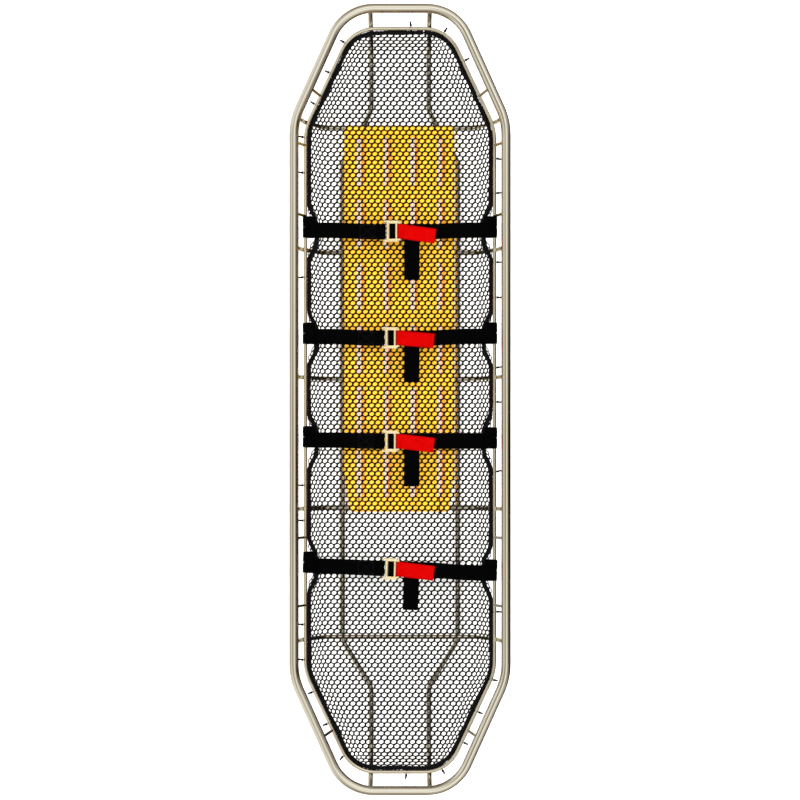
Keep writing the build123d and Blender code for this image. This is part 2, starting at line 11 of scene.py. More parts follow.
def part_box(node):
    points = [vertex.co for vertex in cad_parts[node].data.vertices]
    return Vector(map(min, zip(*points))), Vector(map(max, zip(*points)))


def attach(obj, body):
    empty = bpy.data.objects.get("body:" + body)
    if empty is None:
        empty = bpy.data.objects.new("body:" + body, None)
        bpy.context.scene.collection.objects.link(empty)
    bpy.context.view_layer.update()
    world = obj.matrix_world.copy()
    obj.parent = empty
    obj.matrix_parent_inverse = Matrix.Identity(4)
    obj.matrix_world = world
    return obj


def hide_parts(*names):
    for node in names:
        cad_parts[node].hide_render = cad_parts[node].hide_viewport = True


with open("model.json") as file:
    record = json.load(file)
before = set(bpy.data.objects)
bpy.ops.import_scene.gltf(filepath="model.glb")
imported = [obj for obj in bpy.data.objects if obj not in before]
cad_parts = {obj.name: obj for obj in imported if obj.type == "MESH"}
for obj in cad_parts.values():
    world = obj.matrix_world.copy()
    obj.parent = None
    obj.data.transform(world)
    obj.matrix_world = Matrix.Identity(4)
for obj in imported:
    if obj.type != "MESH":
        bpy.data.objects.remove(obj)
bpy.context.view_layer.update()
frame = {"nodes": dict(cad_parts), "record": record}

nodes = frame["nodes"]
record = frame["record"]
mm = 0.001
up = Vector((0, 0, 1))
print("frame loaded:", len(nodes), "nodes")


# sizes that several pieces share, in metres

lowerRail = {
    "rodRadius": 4.75 * mm, "shoulderY": 742 * mm, "noseX": 130 * mm,
    "shoulderBend": 150 * mm, "noseBend": 100 * mm,
}
railLow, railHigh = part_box("net_rail_head")
lowerRail["halfWidth"] = railHigh[0] - lowerRail["rodRadius"]
lowerRail["halfLength"] = railHigh[1] - lowerRail["rodRadius"]
lowerRail["height"] = (railLow[2] + railHigh[2]) / 2

straps = [
    {"tabTilt": 8.0, "tail": 128 * mm, "bow": (4.3 * mm, 4.6 * mm)},
    {"tabTilt": 5.0, "tail": 118 * mm, "bow": (4.6 * mm, 5.2 * mm)},
    {"tabTilt": 6.7, "tail": 123 * mm, "bow": (3.3 * mm, 0.3 * mm)},
    {"tabTilt": 5.3, "tail": 113 * mm, "bow": (1.3 * mm, -4.6 * mm)},
]
bowFrom, bowTo = 60 * mm, 190 * mm
for number, strap in enumerate(straps, start=1):
    joint = next(j for j in record["behaviour"]["joints"] if j["name"] == f"lever_{number}_lift")
    axis = Vector(joint["axis"])
    strap["pin"] = Vector(joint["pos_m"])
    strap["across"] = -axis
    strap["along"] = Vector((-axis.y, axis.x, 0))
    strap["pinX"] = strap["pin"].x / strap["along"].x
    strap["origin"] = Vector((0, strap["pin"].y - strap["pinX"] * strap["along"].y, 0))


def strapPoint(strap, x, w, z):
    # the web's ends are drawn a little to one side of the buckle's line
    t = min(max((abs(x) - bowFrom) / (bowTo - bowFrom), 0), 1)
    w += strap["bow"][x > 0] * t * t * (3 - 2 * t)
    return strap["origin"] + strap["along"] * x + strap["across"] * w + up * z


def octagonCorners(outline, insetBy):
    # half widths of the straight-sided outline, moved inwards all round
    slant = atan2(outline["halfWidth"] - outline["noseX"], outline["halfLength"] - outline["shoulderY"])
    a = outline["halfWidth"] - insetBy
    b = outline["halfLength"] - insetBy
    s = outline["shoulderY"] - insetBy * tan(slant / 2)
    n = outline["noseX"] - insetBy * (1 - sin(slant)) / cos(slant)
    return a, b, s, n, slant


def softPath(points, radii, step, closed=False):
    # straight runs joined by arcs, as evenly spaced points
    pts = [Vector(p) for p in points]
    count = len(pts)
    path = []
    corners = range(count) if closed else range(1, count - 1)
    if not closed:
        path.append(pts[0])
    for order, i in enumerate(corners):
        before, here, after = pts[i - 1], pts[i], pts[(i + 1) % count]
        back, ahead = (before - here).normalized(), (after - here).normalized()
        turn = pi - back.angle(ahead)
        if turn < 1e-4:
            path.append(here)
            continue
        radius = radii[order]
        reach = radius * tan(turn / 2)
        middle = here + (back + ahead).normalized() * (radius / cos(turn / 2))
        start = here + back * reach - middle
        turnAxis = start.cross(here + ahead * reach - middle).normalized()
        steps = max(2, int(radius * turn / step) + 1)
        for k in range(steps + 1):
            path.append(middle + Matrix.Rotation(turn * k / steps, 3, turnAxis) @ start)
    if not closed:
        path.append(pts[-1])
    fine = []
    ends = path + [path[0]] if closed else path
    for a, b in zip(ends, ends[1:]):
        parts = max(1, round((b - a).length / step))
        fine += [a.lerp(b, k / parts) for k in range(parts)]
    if not closed:
        fine.append(path[-1])
    return fine


def plainPiece(name, mesh):
    piece = bpy.data.objects.new(name, mesh)
    bpy.context.collection.objects.link(piece)
    return piece


def smoothFaces(mesh, smooth=True):
    mesh.polygons.foreach_set("use_smooth", [smooth] * len(mesh.polygons))


def finishedMesh(piece):
    # the piece's mesh with its modifiers worked in
    depsgraph = bpy.context.evaluated_depsgraph_get()
    return bpy.data.meshes.new_from_object(piece.evaluated_get(depsgraph), depsgraph=depsgraph)


def heading(path, i):
    # the way a path runs at one of its points
    return (path[min(i + 1, len(path) - 1)] - path[max(i - 1, 0)]).normalized()


def meshPiece(name, verts, faces, material, uvs=None, smooth=True):
    mesh = bpy.data.meshes.new(name)
    mesh.from_pydata([tuple(v) for v in verts], [], faces)
    if uvs:
        layer = mesh.uv_layers.new(name="weave")
        for loop in mesh.loops:
            layer.data[loop.index].uv = uvs[loop.vertex_index]
    piece = plainPiece(name, mesh)
    tidyNormals(mesh)
    if material:
        mesh.materials.append(material)
    smoothFaces(mesh, smooth)
    return piece


def tidyNormals(mesh):
    bm = bmesh.new()
    bm.from_mesh(mesh)
    bmesh.ops.recalc_face_normals(bm, faces=bm.faces)
    bm.to_mesh(mesh)
    bm.free()


def joinMeshes(name, pieces):
    # one mesh from several, with their vertices where they are
    bm = bmesh.new()
    for piece in pieces:
        bm.from_mesh(piece.data)
    mesh = bpy.data.meshes.new(name)
    bm.to_mesh(mesh)
    bm.free()
    for material in pieces[0].data.materials:
        mesh.materials.append(material)
    for piece in pieces:
        bpy.data.objects.remove(piece)
    smoothFaces(mesh)
    return plainPiece(name, mesh)


# materials

def newMaterial(name, baseColor, roughness, metallic=0.0):
    material = bpy.data.materials.new(name)
    material.use_nodes = True
    shader = material.node_tree.nodes["Principled BSDF"]
    shader.inputs["Base Color"].default_value = (*baseColor, 1)
    shader.inputs["Roughness"].default_value = roughness
    shader.inputs["Metallic"].default_value = metallic
    return material, material.node_tree, shader


def addNode(tree, kind, **values):
    node = tree.nodes.new(kind)
    for label, value in values.items():
        node.inputs[label].default_value = value
    return node


def objectCoords(tree, scale=(1, 1, 1)):
    coords = tree.nodes.new("ShaderNodeTexCoord")
    mapping = tree.nodes.new("ShaderNodeMapping")
    mapping.inputs["Scale"].default_value = scale
    tree.links.new(coords.outputs["Object"], mapping.inputs["Vector"])
    return mapping.outputs["Vector"]


def weaveCoords(tree):
    coords = tree.nodes.new("ShaderNodeUVMap")
    coords.uv_map = "weave"
    return coords.outputs["UV"]


def mathNode(tree, operation, first, second=None):
    node = tree.nodes.new("ShaderNodeMath")
    node.operation = operation
    for socket, value in zip(node.inputs, (first, second)):
        if value is None:
            continue
        if isinstance(value, (int, float)):
            socket.default_value = value
        else:
            tree.links.new(value, socket)
    return node.outputs[0]


def noiseField(tree, vector, scale, detail=3.0):
    field = addNode(tree, "ShaderNodeTexNoise", Scale=scale, Detail=detail)
    tree.links.new(vector, field.inputs["Vector"])
    return field.outputs["Fac"]


def rangeMap(tree, value, low, high, fromLow=0.3, fromHigh=0.7):
    node = tree.nodes.new("ShaderNodeMapRange")
    node.inputs["From Min"].default_value = fromLow
    node.inputs["From Max"].default_value = fromHigh
    node.inputs["To Min"].default_value = low
    node.inputs["To Max"].default_value = high
    tree.links.new(value, node.inputs["Value"])
    return node.outputs["Result"]


def mixColor(tree, factor, first, second):
    node = tree.nodes.new("ShaderNodeMix")
    node.data_type = "RGBA"
    tree.links.new(factor, node.inputs["Factor"])
    for socket, value in ((node.inputs[6], first), (node.inputs[7], second)):
        if isinstance(value, tuple):
            socket.default_value = (*value, 1)
        else:
            tree.links.new(value, socket)
    return node.outputs[2]


def addBump(tree, shader, height, strength, distance):
    bump = addNode(tree, "ShaderNodeBump", Strength=strength, Distance=distance)
    tree.links.new(height, bump.inputs["Height"])
    tree.links.new(bump.outputs["Normal"], shader.inputs["Normal"])


def makeSteel(name, look):
    material, tree, shader = newMaterial(name, look["color"], look["roughness"], look["metal"])
    link = tree.links.new
    streaks = noiseField(tree, objectCoords(tree, (40, 6, 40)), 6.0)
    scuffs = noiseField(tree, objectCoords(tree), 35.0, 5.0)
    streaked = rangeMap(tree, streaks, look["roughness"] * 0.8, look["roughness"] * 1.25)
    scuffed = rangeMap(tree, scuffs, 0.0, look["scuff"], 0.55, 0.75)
    link(mathNode(tree, "ADD", streaked, scuffed), shader.inputs["Roughness"])
    stained = rangeMap(tree, noiseField(tree, objectCoords(tree), 9.0, 4.0), 0.0, look["stain"], 0.5, 0.8)
    link(mixColor(tree, stained, look["color"], look["stainColor"]), shader.inputs["Base Color"])
    addBump(tree, shader, scuffs, 0.12, 0.0004)
    return material


def makePanelPlastic(name, look):
    material, tree, shader = newMaterial(name, look["color"], 0.42)
    maths, link = partial(mathNode, tree), tree.links.new
    shader.inputs["Specular IOR Level"].default_value = 0.4
    split = tree.nodes.new("ShaderNodeSeparateXYZ")
    link(objectCoords(tree), split.inputs[0])

    def offMiddle(axis, start, pitch, middle, half):
        # how far a point is from the middle of its slot's shade, in half widths of it
        repeated = maths("MODULO", maths("ADD", split.outputs[axis], start), pitch)
        return maths("DIVIDE", maths("ABSOLUTE", maths("SUBTRACT", repeated, middle)), half)

    across = offMiddle("X", look["columnStart"], look["columnPitch"], look["shadeAt"], look["shadeHalf"])
    down = offMiddle("Y", look["rowStart"], look["rowPitch"], look["rowPitch"] / 2, look["rowHalf"])
    shade = rangeMap(tree, maths("MAXIMUM", across, down), 0.85, 0.0, 0.55, 1.35)
    cloud = noiseField(tree, objectCoords(tree), 14.0, 4.0)
    worn = rangeMap(tree, cloud, 0.0, 0.4, 0.42, 0.72)
    ground = mixColor(tree, worn, look["color"], look["warmColor"])
    link(mixColor(tree, shade, ground, look["amberColor"]), shader.inputs["Base Color"])
    grain = noiseField(tree, objectCoords(tree), 700.0, 2.0)
    link(rangeMap(tree, cloud, 0.36, 0.52), shader.inputs["Roughness"])
    addBump(tree, shader, grain, 0.25, 0.0003)
    return material


def makeBlackPlastic(name, roughness, color):
    material, tree, shader = newMaterial(name, color, roughness)
    shader.inputs["Specular IOR Level"].default_value = 0.16
    cloud = noiseField(tree, objectCoords(tree), 60.0, 4.0)
    tree.links.new(rangeMap(tree, cloud, roughness * 0.85, roughness * 1.2), shader.inputs["Roughness"])
    lighter = tuple(channel * 1.9 for channel in color)
    clouded = rangeMap(tree, cloud, 0.0, 0.8, 0.4, 0.8)
    tree.links.new(mixColor(tree, clouded, color, lighter), shader.inputs["Base Color"])
    addBump(tree, shader, noiseField(tree, objectCoords(tree), 900.0, 2.0), 0.2, 0.0002)
    return material


def makeWebbing(name, look):
    # ribs run along the strap, with yarns crossing them at a slant; the weave's crests get a painted highlight
    material, tree, shader = newMaterial(name, look["color"], 0.72)
    maths, link = partial(mathNode, tree), tree.links.new
    shader.inputs["Sheen Weight"].default_value = look["sheen"]
    shader.inputs["Sheen Roughness"].default_value = 0.5
    shader.inputs["Specular IOR Level"].default_value = look["shine"]
    split = tree.nodes.new("ShaderNodeSeparateXYZ")
    link(weaveCoords(tree), split.inputs[0])
    along = maths("MULTIPLY", split.outputs["X"], 2 * pi / look["yarn"])
    across = maths("MULTIPLY", split.outputs["Y"], 2 * pi / look["rib"])
    ribs = maths("ABSOLUTE", maths("SINE", maths("MULTIPLY", across, 0.5)))
    folded = maths("PINGPONG", across, pi)
    yarns = maths("SINE", maths("ADD", along, folded))
    weave = maths("ADD", maths("MULTIPLY", ribs, 0.6), maths("MULTIPLY", yarns, 0.4))
    dust = noiseField(tree, objectCoords(tree), 30.0, 5.0)
    # painted highlight: the crests of the weave take the lighter colour, dimmed at random
    lit = maths("MULTIPLY", rangeMap(tree, weave, 0.0, 1.0, 0.0, 1.0), rangeMap(tree, dust, 0.5, 1.0))
    link(mixColor(tree, lit, look["color"], look["crestHighlightColor"]), shader.inputs["Base Color"])
    addBump(tree, shader, weave, 0.55, 0.0005)
    return material


def makeCordCover(name, color):
    material, tree, shader = newMaterial(name, color, 0.75)
    shader.inputs["Sheen Weight"].default_value = 0.03
    shader.inputs["Specular IOR Level"].default_value = 0.1
    braid = addNode(tree, "ShaderNodeTexVoronoi", Scale=420.0)
    tree.links.new(objectCoords(tree), braid.inputs["Vector"])
    # painted highlight: the braid's raised bumps are painted lighter than the hollows between them
    lighter = tuple(channel * 2.2 for channel in color)
    strands = rangeMap(tree, braid.outputs["Distance"], 0.8, 0.0, 0.0, 0.6)
    tree.links.new(mixColor(tree, strands, color, lighter), shader.inputs["Base Color"])
    addBump(tree, shader, braid.outputs["Distance"], 0.5, -0.0006)
    return material


polishedSteel = {"color": (0.97, 0.94, 0.86), "metal": 1.0, "roughness": 0.06, "scuff": 0.04, "stain": 0.2,
                 "stainColor": (0.74, 0.68, 0.56)}
drawnSteel = {"color": (0.97, 0.91, 0.78), "metal": 1.0, "roughness": 0.16, "scuff": 0.10, "stain": 0.45,
              "stainColor": (0.36, 0.25, 0.17)}
zincPlate = {"color": (0.86, 0.72, 0.44), "metal": 0.75, "roughness": 0.26, "scuff": 0.10, "stain": 0.3,
             "stainColor": (0.70, 0.55, 0.26)}
turnedSteel = {"color": (0.72, 0.70, 0.66), "metal": 1.0, "roughness": 0.22, "scuff": 0.1, "stain": 0.2,
               "stainColor": (0.45, 0.42, 0.38)}
panelLow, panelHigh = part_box("back_panel")
panelMiddleX = (panelLow[0] + panelHigh[0]) / 2
panelPlastic = {
    "color": (1.0, 0.52, 0.010), "warmColor": (0.98, 0.42, 0.008), "amberColor": (0.80, 0.25, 0.008),
    "columnPitch": 74.5 * mm, "rowPitch": 173 * mm, "rowHalf": 66 * mm,
    "shadeAt": 48 * mm, "shadeHalf": 6.5 * mm,
}
panelPlastic["columnStart"] = 4 * panelPlastic["columnPitch"] - panelMiddleX
panelPlastic["rowStart"] = 6 * panelPlastic["rowPitch"] - 664 * mm + panelPlastic["rowPitch"] / 2
# each web's second colour is the painted highlight on the crests of its weave
blackWeb = {"color": (0.0002, 0.0002, 0.0003), "crestHighlightColor": (0.0011, 0.0011, 0.0015), "sheen": 0.004,
            "shine": 0.02, "yarn": 1.6 * mm, "rib": 2.8 * mm}
redWeb = {"color": (0.27, 0.0001, 0.0001), "crestHighlightColor": (0.49, 0.0004, 0.0004), "sheen": 0.0,
          "shine": 0.03, "yarn": 1.6 * mm, "rib": 2.8 * mm}

railSteel = makeSteel("railSteel", polishedSteel)
rodSteel = makeSteel("rodSteel", drawnSteel)
buckleZinc = makeSteel("buckleZinc", zincPlate)
pinSteel = makeSteel("pinSteel", turnedSteel)
panelYellow = makePanelPlastic("panelYellow", panelPlastic)
netBlack = makeBlackPlastic("netBlack", 0.48, (0.003, 0.0025, 0.0025))
tieBlack = makeBlackPlastic("tieBlack", 0.38, (0.003, 0.003, 0.0035))
cordBlack = makeCordCover("cordBlack", (0.0018, 0.0018, 0.0022))
webBlack = makeWebbing("webBlack", blackWeb)
webRed = makeWebbing("webRed", redWeb)
threadRed = makeCordCover("threadRed", (0.35, 0.002, 0.003))
threadBlack = makeCordCover("threadBlack", (0.008, 0.008, 0.010))

finishes = {"rail_steel": railSteel, "rod_steel": rodSteel, "buckle_zinc": buckleZinc, "pin_steel": pinSteel,
            "panel_yellow": panelYellow}
for subpart in record["subparts"]:
    finish = finishes.get(subpart["material_slot"])
    if finish:
        for slot in nodes[subpart["node"]].material_slots:
            slot.material = finish
print("materials made")


# camera, floor and light

view = {"height": 5.38, "y": -0.18, "sensor": 36.0, "spanAtRail": 2.151, "slide": 0.0009}
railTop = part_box("top_rail_head")[1][2]
cameraData = bpy.data.cameras.new("overheadCamera")
cameraData.sensor_width = view["sensor"]
cameraData.lens = view["sensor"] * (view["height"] - railTop) / view["spanAtRail"]
cameraData.shift_y = -view["y"] / view["spanAtRail"] - view["slide"]
cameraData.clip_end = 60
camera = plainPiece("overheadCamera", cameraData)
camera.location = (0, view["y"], view["height"])
bpy.context.scene.camera = camera

studio = {"floorSize": 30.0, "floorColor": (0.93, 0.93, 0.93), "floorGlow": 0.35, "sky": 1.0}
# what the polished tubes mirror: from one side to the other, and from foot to head
cardsAcross = [(0.0, (0.34, 0.30, 0.24)), (0.07, (0.66, 0.63, 0.54)), (0.15, (0.62, 0.59, 0.50)),
               (0.22, (0.24, 0.22, 0.15)), (0.34, (0.16, 0.14, 0.09)), (0.43, (0.30, 0.28, 0.21)),
               (0.55, (0.86, 0.83, 0.73)), (0.70, (0.66, 0.62, 0.50)), (0.81, (0.34, 0.29, 0.21)),
               (0.89, (0.07, 0.04, 0.025)), (0.955, (0.006, 0.003, 0.002))]
cardsAlong = [(0.0, (0.22, 0.18, 0.13)), (0.10, (0.46, 0.42, 0.34)), (0.30, (0.98, 0.96, 0.88)),
              (0.50, (0.72, 0.70, 0.61)), (0.66, (1.05, 1.04, 1.0)), (0.85, (0.60, 0.57, 0.48)),
              (0.97, (0.24, 0.20, 0.16))]


softboxes = {
    "keySoftbox": {"place": (2.6, 0.4, 4.2), "size": (2.5, 4.0), "power": 260, "color": (1.0, 0.99, 0.96)},
    "fillSoftbox": {"place": (-2.6, -0.5, 4.2), "size": (2.5, 4.0), "power": 200, "color": (0.98, 0.99, 1.0)},
    "topSoftbox": {"place": (0.0, 0.0, 6.2), "size": (3.0, 4.0), "power": 200, "color": (1.0, 1.0, 1.0)},
}


def makeFloor():
    half = studio["floorSize"] / 2
    material, tree, shader = newMaterial("paperFloor", studio["floorColor"], 0.9)
    shader.inputs["Specular IOR Level"].default_value = 0.1
    shader.inputs["Emission Color"].default_value = (1, 1, 1, 1)
    shader.inputs["Emission Strength"].default_value = studio["floorGlow"]
    floor = meshPiece("floor", [(-half, -half, 0), (half, -half, 0), (half, half, 0), (-half, half, 0)],
                      [(0, 1, 2, 3)], material, smooth=False)
    floor.visible_glossy = False


def cardRamp(tree, value, cards):
    ramp = tree.nodes.new("ShaderNodeValToRGB")
    stops = ramp.color_ramp.elements
    while len(stops) < len(cards):
        stops.new(0.5)
    for stop, (position, color) in zip(stops, cards):
        stop.position, stop.color = position, (*color, 1)
    halved = mathNode(tree, "ADD", mathNode(tree, "MULTIPLY", value, 0.5), 0.5)
    tree.links.new(halved, ramp.inputs["Fac"])
    return ramp.outputs["Color"]


def makeSky():
    world = bpy.data.worlds.new("studioSky")
    bpy.context.scene.world = world
    world.use_nodes = True
    tree = world.node_tree
    maths, link = partial(mathNode, tree), tree.links.new
    background = tree.nodes["Background"]
    coords = tree.nodes.new("ShaderNodeTexCoord")
    split = tree.nodes.new("ShaderNodeSeparateXYZ")
    link(coords.outputs["Generated"], split.inputs[0])
    x, y = split.outputs["X"], split.outputs["Y"]
    sideways, lengthways = maths("ABSOLUTE", x), maths("ABSOLUTE", y)
    total = maths("ADD", maths("ADD", sideways, lengthways), 0.02)
    share = maths("DIVIDE", lengthways, total)
    sky = mixColor(tree, share, cardRamp(tree, x, cardsAcross), cardRamp(tree, y, cardsAlong))
    link(sky, background.inputs["Color"])
    # the right flank of each tube mirrors a dark room below the horizon
    belowHorizon = rangeMap(tree, split.outputs["Z"], 0.03, 1.0, -0.25, 0.0)
    exceptLeft = rangeMap(tree, x, 1.0, 0.0, 0.1, 0.3)
    lit = maths("MAXIMUM", belowHorizon, exceptLeft)
    link(maths("MULTIPLY", lit, studio["sky"]), background.inputs["Strength"])


def addSoftbox(name, place, size, power, color):
    light = bpy.data.lights.new(name, "AREA")
    light.shape = "RECTANGLE"
    light.size, light.size_y = size
    light.energy = power
    light.color = color
    box = plainPiece(name, light)
    box.location = place
    box.rotation_euler = (Vector((0, 0, 0)) - Vector(place)).to_track_quat("-Z", "Y").to_euler()
    box.visible_glossy = False


makeFloor()
makeSky()
for name, softbox in softboxes.items():
    addSoftbox(name, **softbox)
scene = bpy.context.scene
scene.view_settings.view_transform = "Standard"
scene.view_settings.look = "None"
print("camera, floor and light set")


# node tree helpers

def newTree(name, inputs):
    tree = bpy.data.node_groups.new(name, "GeometryNodeTree")
    tree.interface.new_socket("Geometry", in_out="INPUT", socket_type="NodeSocketGeometry")
    for label, kind in inputs.items():
        tree.interface.new_socket(label, in_out="INPUT", socket_type=kind)
    tree.interface.new_socket("Geometry", in_out="OUTPUT", socket_type="NodeSocketGeometry")
    start = tree.nodes.new("NodeGroupInput")
    finish = tree.nodes.new("NodeGroupOutput")
    return tree, start.outputs, finish.inputs[0]


def treeNode(tree, kind, settings=None, **wires):
    node = tree.nodes.new(kind)
    for key, value in (settings or {}).items():
        setattr(node, key, value)
    for key, value in wires.items():
        socket = node.inputs[key.replace("_", " ")]
        if isinstance(value, bpy.types.NodeSocket):
            tree.links.new(value, socket)
        else:
            socket.default_value = value
    return node


def runTree(carrier, tree, values):
    # runs the tree on the carrier and returns its result as a plain mesh
    modifier = carrier.modifiers.new(tree.name, "NODES")
    modifier.node_group = tree
    for item in tree.interface.items_tree:
        if item.in_out == "INPUT" and item.name in values:
            modifier[item.identifier] = values[item.name]
    result = finishedMesh(carrier)
    carrier.modifiers.remove(modifier)
    return result


def scatterTree():
    # instances of one part on points that carry their own rotation
    tree, given, result = newTree("scatterOnPoints", {
        "Part": "NodeSocketObject", "Size": "NodeSocketFloat", "Finish": "NodeSocketMaterial"})
    add = partial(treeNode, tree)
    part = add("GeometryNodeObjectInfo", Object=given["Part"])
    turn = add("GeometryNodeInputNamedAttribute", {"data_type": "FLOAT_VECTOR"}, Name="turn")
    copies = add("GeometryNodeInstanceOnPoints", Points=given["Geometry"], Instance=part.outputs["Geometry"],
                 Rotation=turn.outputs["Attribute"], Scale=given["Size"])
    real = add("GeometryNodeRealizeInstances", Geometry=copies.outputs["Instances"])
    done = add("GeometryNodeSetMaterial", Geometry=real.outputs["Geometry"], Material=given["Finish"])
    tree.links.new(done.outputs["Geometry"], result)
    return tree


scatter = scatterTree()


def scatterParts(name, part, places, material):
    # places: pairs of a point and a rotation matrix
    mesh = bpy.data.meshes.new(name + "Points")
    mesh.from_pydata([tuple(p) for p, _ in places], [], [])
    turns = mesh.attributes.new("turn", "FLOAT_VECTOR", "POINT")
    for i, (_, matrix) in enumerate(places):
        turns.data[i].vector = matrix.to_euler()
    carrier = plainPiece(name + "Points", mesh)
    solid = runTree(carrier, scatter, {"Part": part, "Size": 1.0, "Finish": material})
    bpy.data.objects.remove(carrier)
    smoothFaces(solid)
    return plainPiece(name, solid)


# net

netForm = {
    "floorInset": 47 * mm, "bendRadius": 38 * mm, "wallAngle": radians(57.4), "rimHeight": 101 * mm,
    "floorOnPanel": 37.4 * mm, "floorOpen": 30 * mm, "panelFade": 45 * mm, "rimPull": 22 * mm,
    "pullReach": 58 * mm, "ripple": 1.3 * mm, "gridStep": 9 * mm, "margin": 34 * mm, "cornerSoft": 14 * mm,
    "rippleGrain": (9, 7, 3.1), "slackGrain": (4, 14, 8.7), "slack": 2.2, "calmOnPanel": 0.25,
}
netMesh = {
    "pitchX": 17.4 * mm, "pitchY": 11.8 * mm, "holeWide": 13.3 * mm, "holeHigh": 10.5 * mm, "holeTilt": 18.0,
    "thickness": 2.4 * mm, "edgeThickness": 0.45, "rimLimit": 70 * mm, "columns": 45, "rows": 201,
    "seam": 348 * mm, "past": 2.0,
}
uvSpan = 2.6        # metres of flat net across the whole form's unit square


def softMax(values, softness):
    highest = np.maximum.reduce(values)
    return highest + softness * np.log(sum(np.exp((v - highest) / softness) for v in values))


def edgeDistance(x, y):
    # how far a flat point lies outside the floor's outline, and the two parts of the way out
    a, b, s, _, slant = octagonCorners(lowerRail, netForm["floorInset"])

    def distance(px, py):
        side, end = np.abs(px) - a, np.abs(py) - b
        corner = side * cos(slant) + (np.abs(py) - s) * sin(slant)
        return softMax([side, end, corner], netForm["cornerSoft"])

    d = distance(x, y)
    probe = 0.5 * mm
    gx = (distance(x + probe, y) - distance(x - probe, y)) / (2 * probe)
    gy = (distance(x, y + probe) - distance(x, y - probe)) / (2 * probe)
    length = np.maximum(np.hypot(gx, gy), 1e-6)
    return d, gx / length, gy / length


def smoothStep(t):
    t = np.clip(t, 0, 1)
    return t * t * (3 - 2 * t)


def strapPull(x, y):
    pull = np.zeros_like(y)
    for strap in straps:
        centre = strap["origin"].y + np.sign(x) * lowerRail["halfWidth"] * strap["along"].y
        pull = np.maximum(pull, 1 - smoothStep(np.abs(y - centre) / netForm["pullReach"]))
    return pull * netForm["rimPull"]


def netNoise(u, v, grain):
    fine, long, layer = grain
    values = [noise.noise(Vector((a * fine, b * long, layer))) for a, b in zip(u.ravel(), v.ravel())]
    return np.array(values).reshape(u.shape)


def shapeNet(u, v):
    # flat net coordinates to places on the basket's lining
    d, outX, outY = edgeDistance(u, v)
    bend, angle = netForm["bendRadius"], netForm["wallAngle"]
    lead = bend * tan(angle / 2)
    t = np.clip(d + lead, 0, None)
    arc = np.clip(t, 0, bend * angle)
    rest = np.clip(t - bend * angle, 0, None)
    planRun = bend * np.sin(arc / bend) + rest * cos(angle)
    rise = bend * (1 - np.cos(arc / bend)) + rest * sin(angle)
    fullRise = netForm["rimHeight"] - netForm["floorOnPanel"]
    over = np.clip(rise - fullRise, 0, None)
    rise = rise - over
    planRun = planRun - over / tan(angle)
    shift = np.where(t > 0, t - planRun, 0)
    x, y = u - outX * shift, v - outY * shift
    outside = np.maximum(np.maximum(panelLow[0] - x, x - panelHigh[0]),
                         np.maximum(panelLow[1] - y, y - panelHigh[1]))
    offPanel = smoothStep(outside / netForm["panelFade"])
    floorZ = netForm["floorOnPanel"] - (netForm["floorOnPanel"] - netForm["floorOpen"]) * offPanel
    z = floorZ + rise * (netForm["rimHeight"] - floorZ) / fullRise
    climb = rise / fullRise
    x = x - np.sign(x) * strapPull(x, y) * smoothStep(climb) * (np.abs(y) < lowerRail["shoulderY"])
    ripple = netNoise(u, v, netForm["rippleGrain"])
    slack = netNoise(u, v, netForm["slackGrain"])
    calm = netForm["calmOnPanel"]
    z = z + netForm["ripple"] * ripple * (calm + (1 - calm) * offPanel) * (1 - climb)
    lean = netForm["slack"] * netForm["ripple"] * slack * climb * (1 - climb) * 4
    return x - outX * lean, y - outY * lean, z, d


def makeNetForm():
    a, b, *_ = octagonCorners(lowerRail, netForm["floorInset"])
    reach = netMesh["rimLimit"] + netForm["margin"]
    columns = int(2 * (a + reach) / netForm["gridStep"])
    rows = int(2 * (b + reach) / netForm["gridStep"])
    u, v = np.meshgrid(np.linspace(-a - reach, a + reach, columns), np.linspace(-b - reach, b + reach, rows))
    x, y, z, d = shapeNet(u, v)
    verts = np.stack([x, y, z], axis=-1).reshape(-1, 3)
    faces = [(r * columns + c, r * columns + c + 1, (r + 1) * columns + c + 1, (r + 1) * columns + c)
             for r in range(rows - 1) for c in range(columns - 1)]
    mesh = bpy.data.meshes.new("netForm")
    mesh.from_pydata(verts.tolist(), [], faces)
    flat = mesh.attributes.new("flat", "FLOAT_VECTOR", "POINT")
    uv = np.stack([u / uvSpan + 0.5, v / uvSpan + 0.5, np.zeros_like(u)], axis=-1).reshape(-1)
    flat.data.foreach_set("vector", uv)
    edge = mesh.attributes.new("edge", "FLOAT", "POINT")
    edge.data.foreach_set("value", d.ravel())
    return plainPiece("netForm", mesh)


def makeNetCell():
    # one opening of the net with its share of the strands round it
    halfX, halfY = netMesh["pitchX"] / 2, netMesh["pitchY"]
    shoulder = (halfY ** 2 - halfX ** 2) / (2 * halfY)
    tip = (halfX ** 2 + halfY ** 2) / (2 * halfY)
    corners = [Vector((halfX, shoulder)), Vector((0, tip)), Vector((-halfX, shoulder)),
               Vector((-halfX, -shoulder)), Vector((0, -tip)), Vector((halfX, -shoulder))]
    rim = []
    for i, corner in enumerate(corners):
        rim += [corner, corner.lerp(corners[(i + 1) % 6], 0.5)]
    tilt = Matrix.Rotation(radians(netMesh["holeTilt"]), 2)
    hole = []
    for point in rim:
        angle = atan2(point.y / tip, point.x / halfX)
        hole.append(tilt @ Vector((cos(angle) * netMesh["holeWide"] / 2, sin(angle) * netMesh["holeHigh"] / 2)))
    verts = [(p.x, p.y, 0) for p in rim + hole]
    count = len(rim)
    faces = [(i, (i + 1) % count, count + (i + 1) % count, count + i) for i in range(count)]
    mesh = bpy.data.meshes.new("netCell")
    mesh.from_pydata(verts, [], faces)
    depth = mesh.attributes.new("depth", "FLOAT", "POINT")
    depth.data.foreach_set("value", [1.0] * count + [netMesh["edgeThickness"]] * count)
    return plainPiece("netCell", mesh)


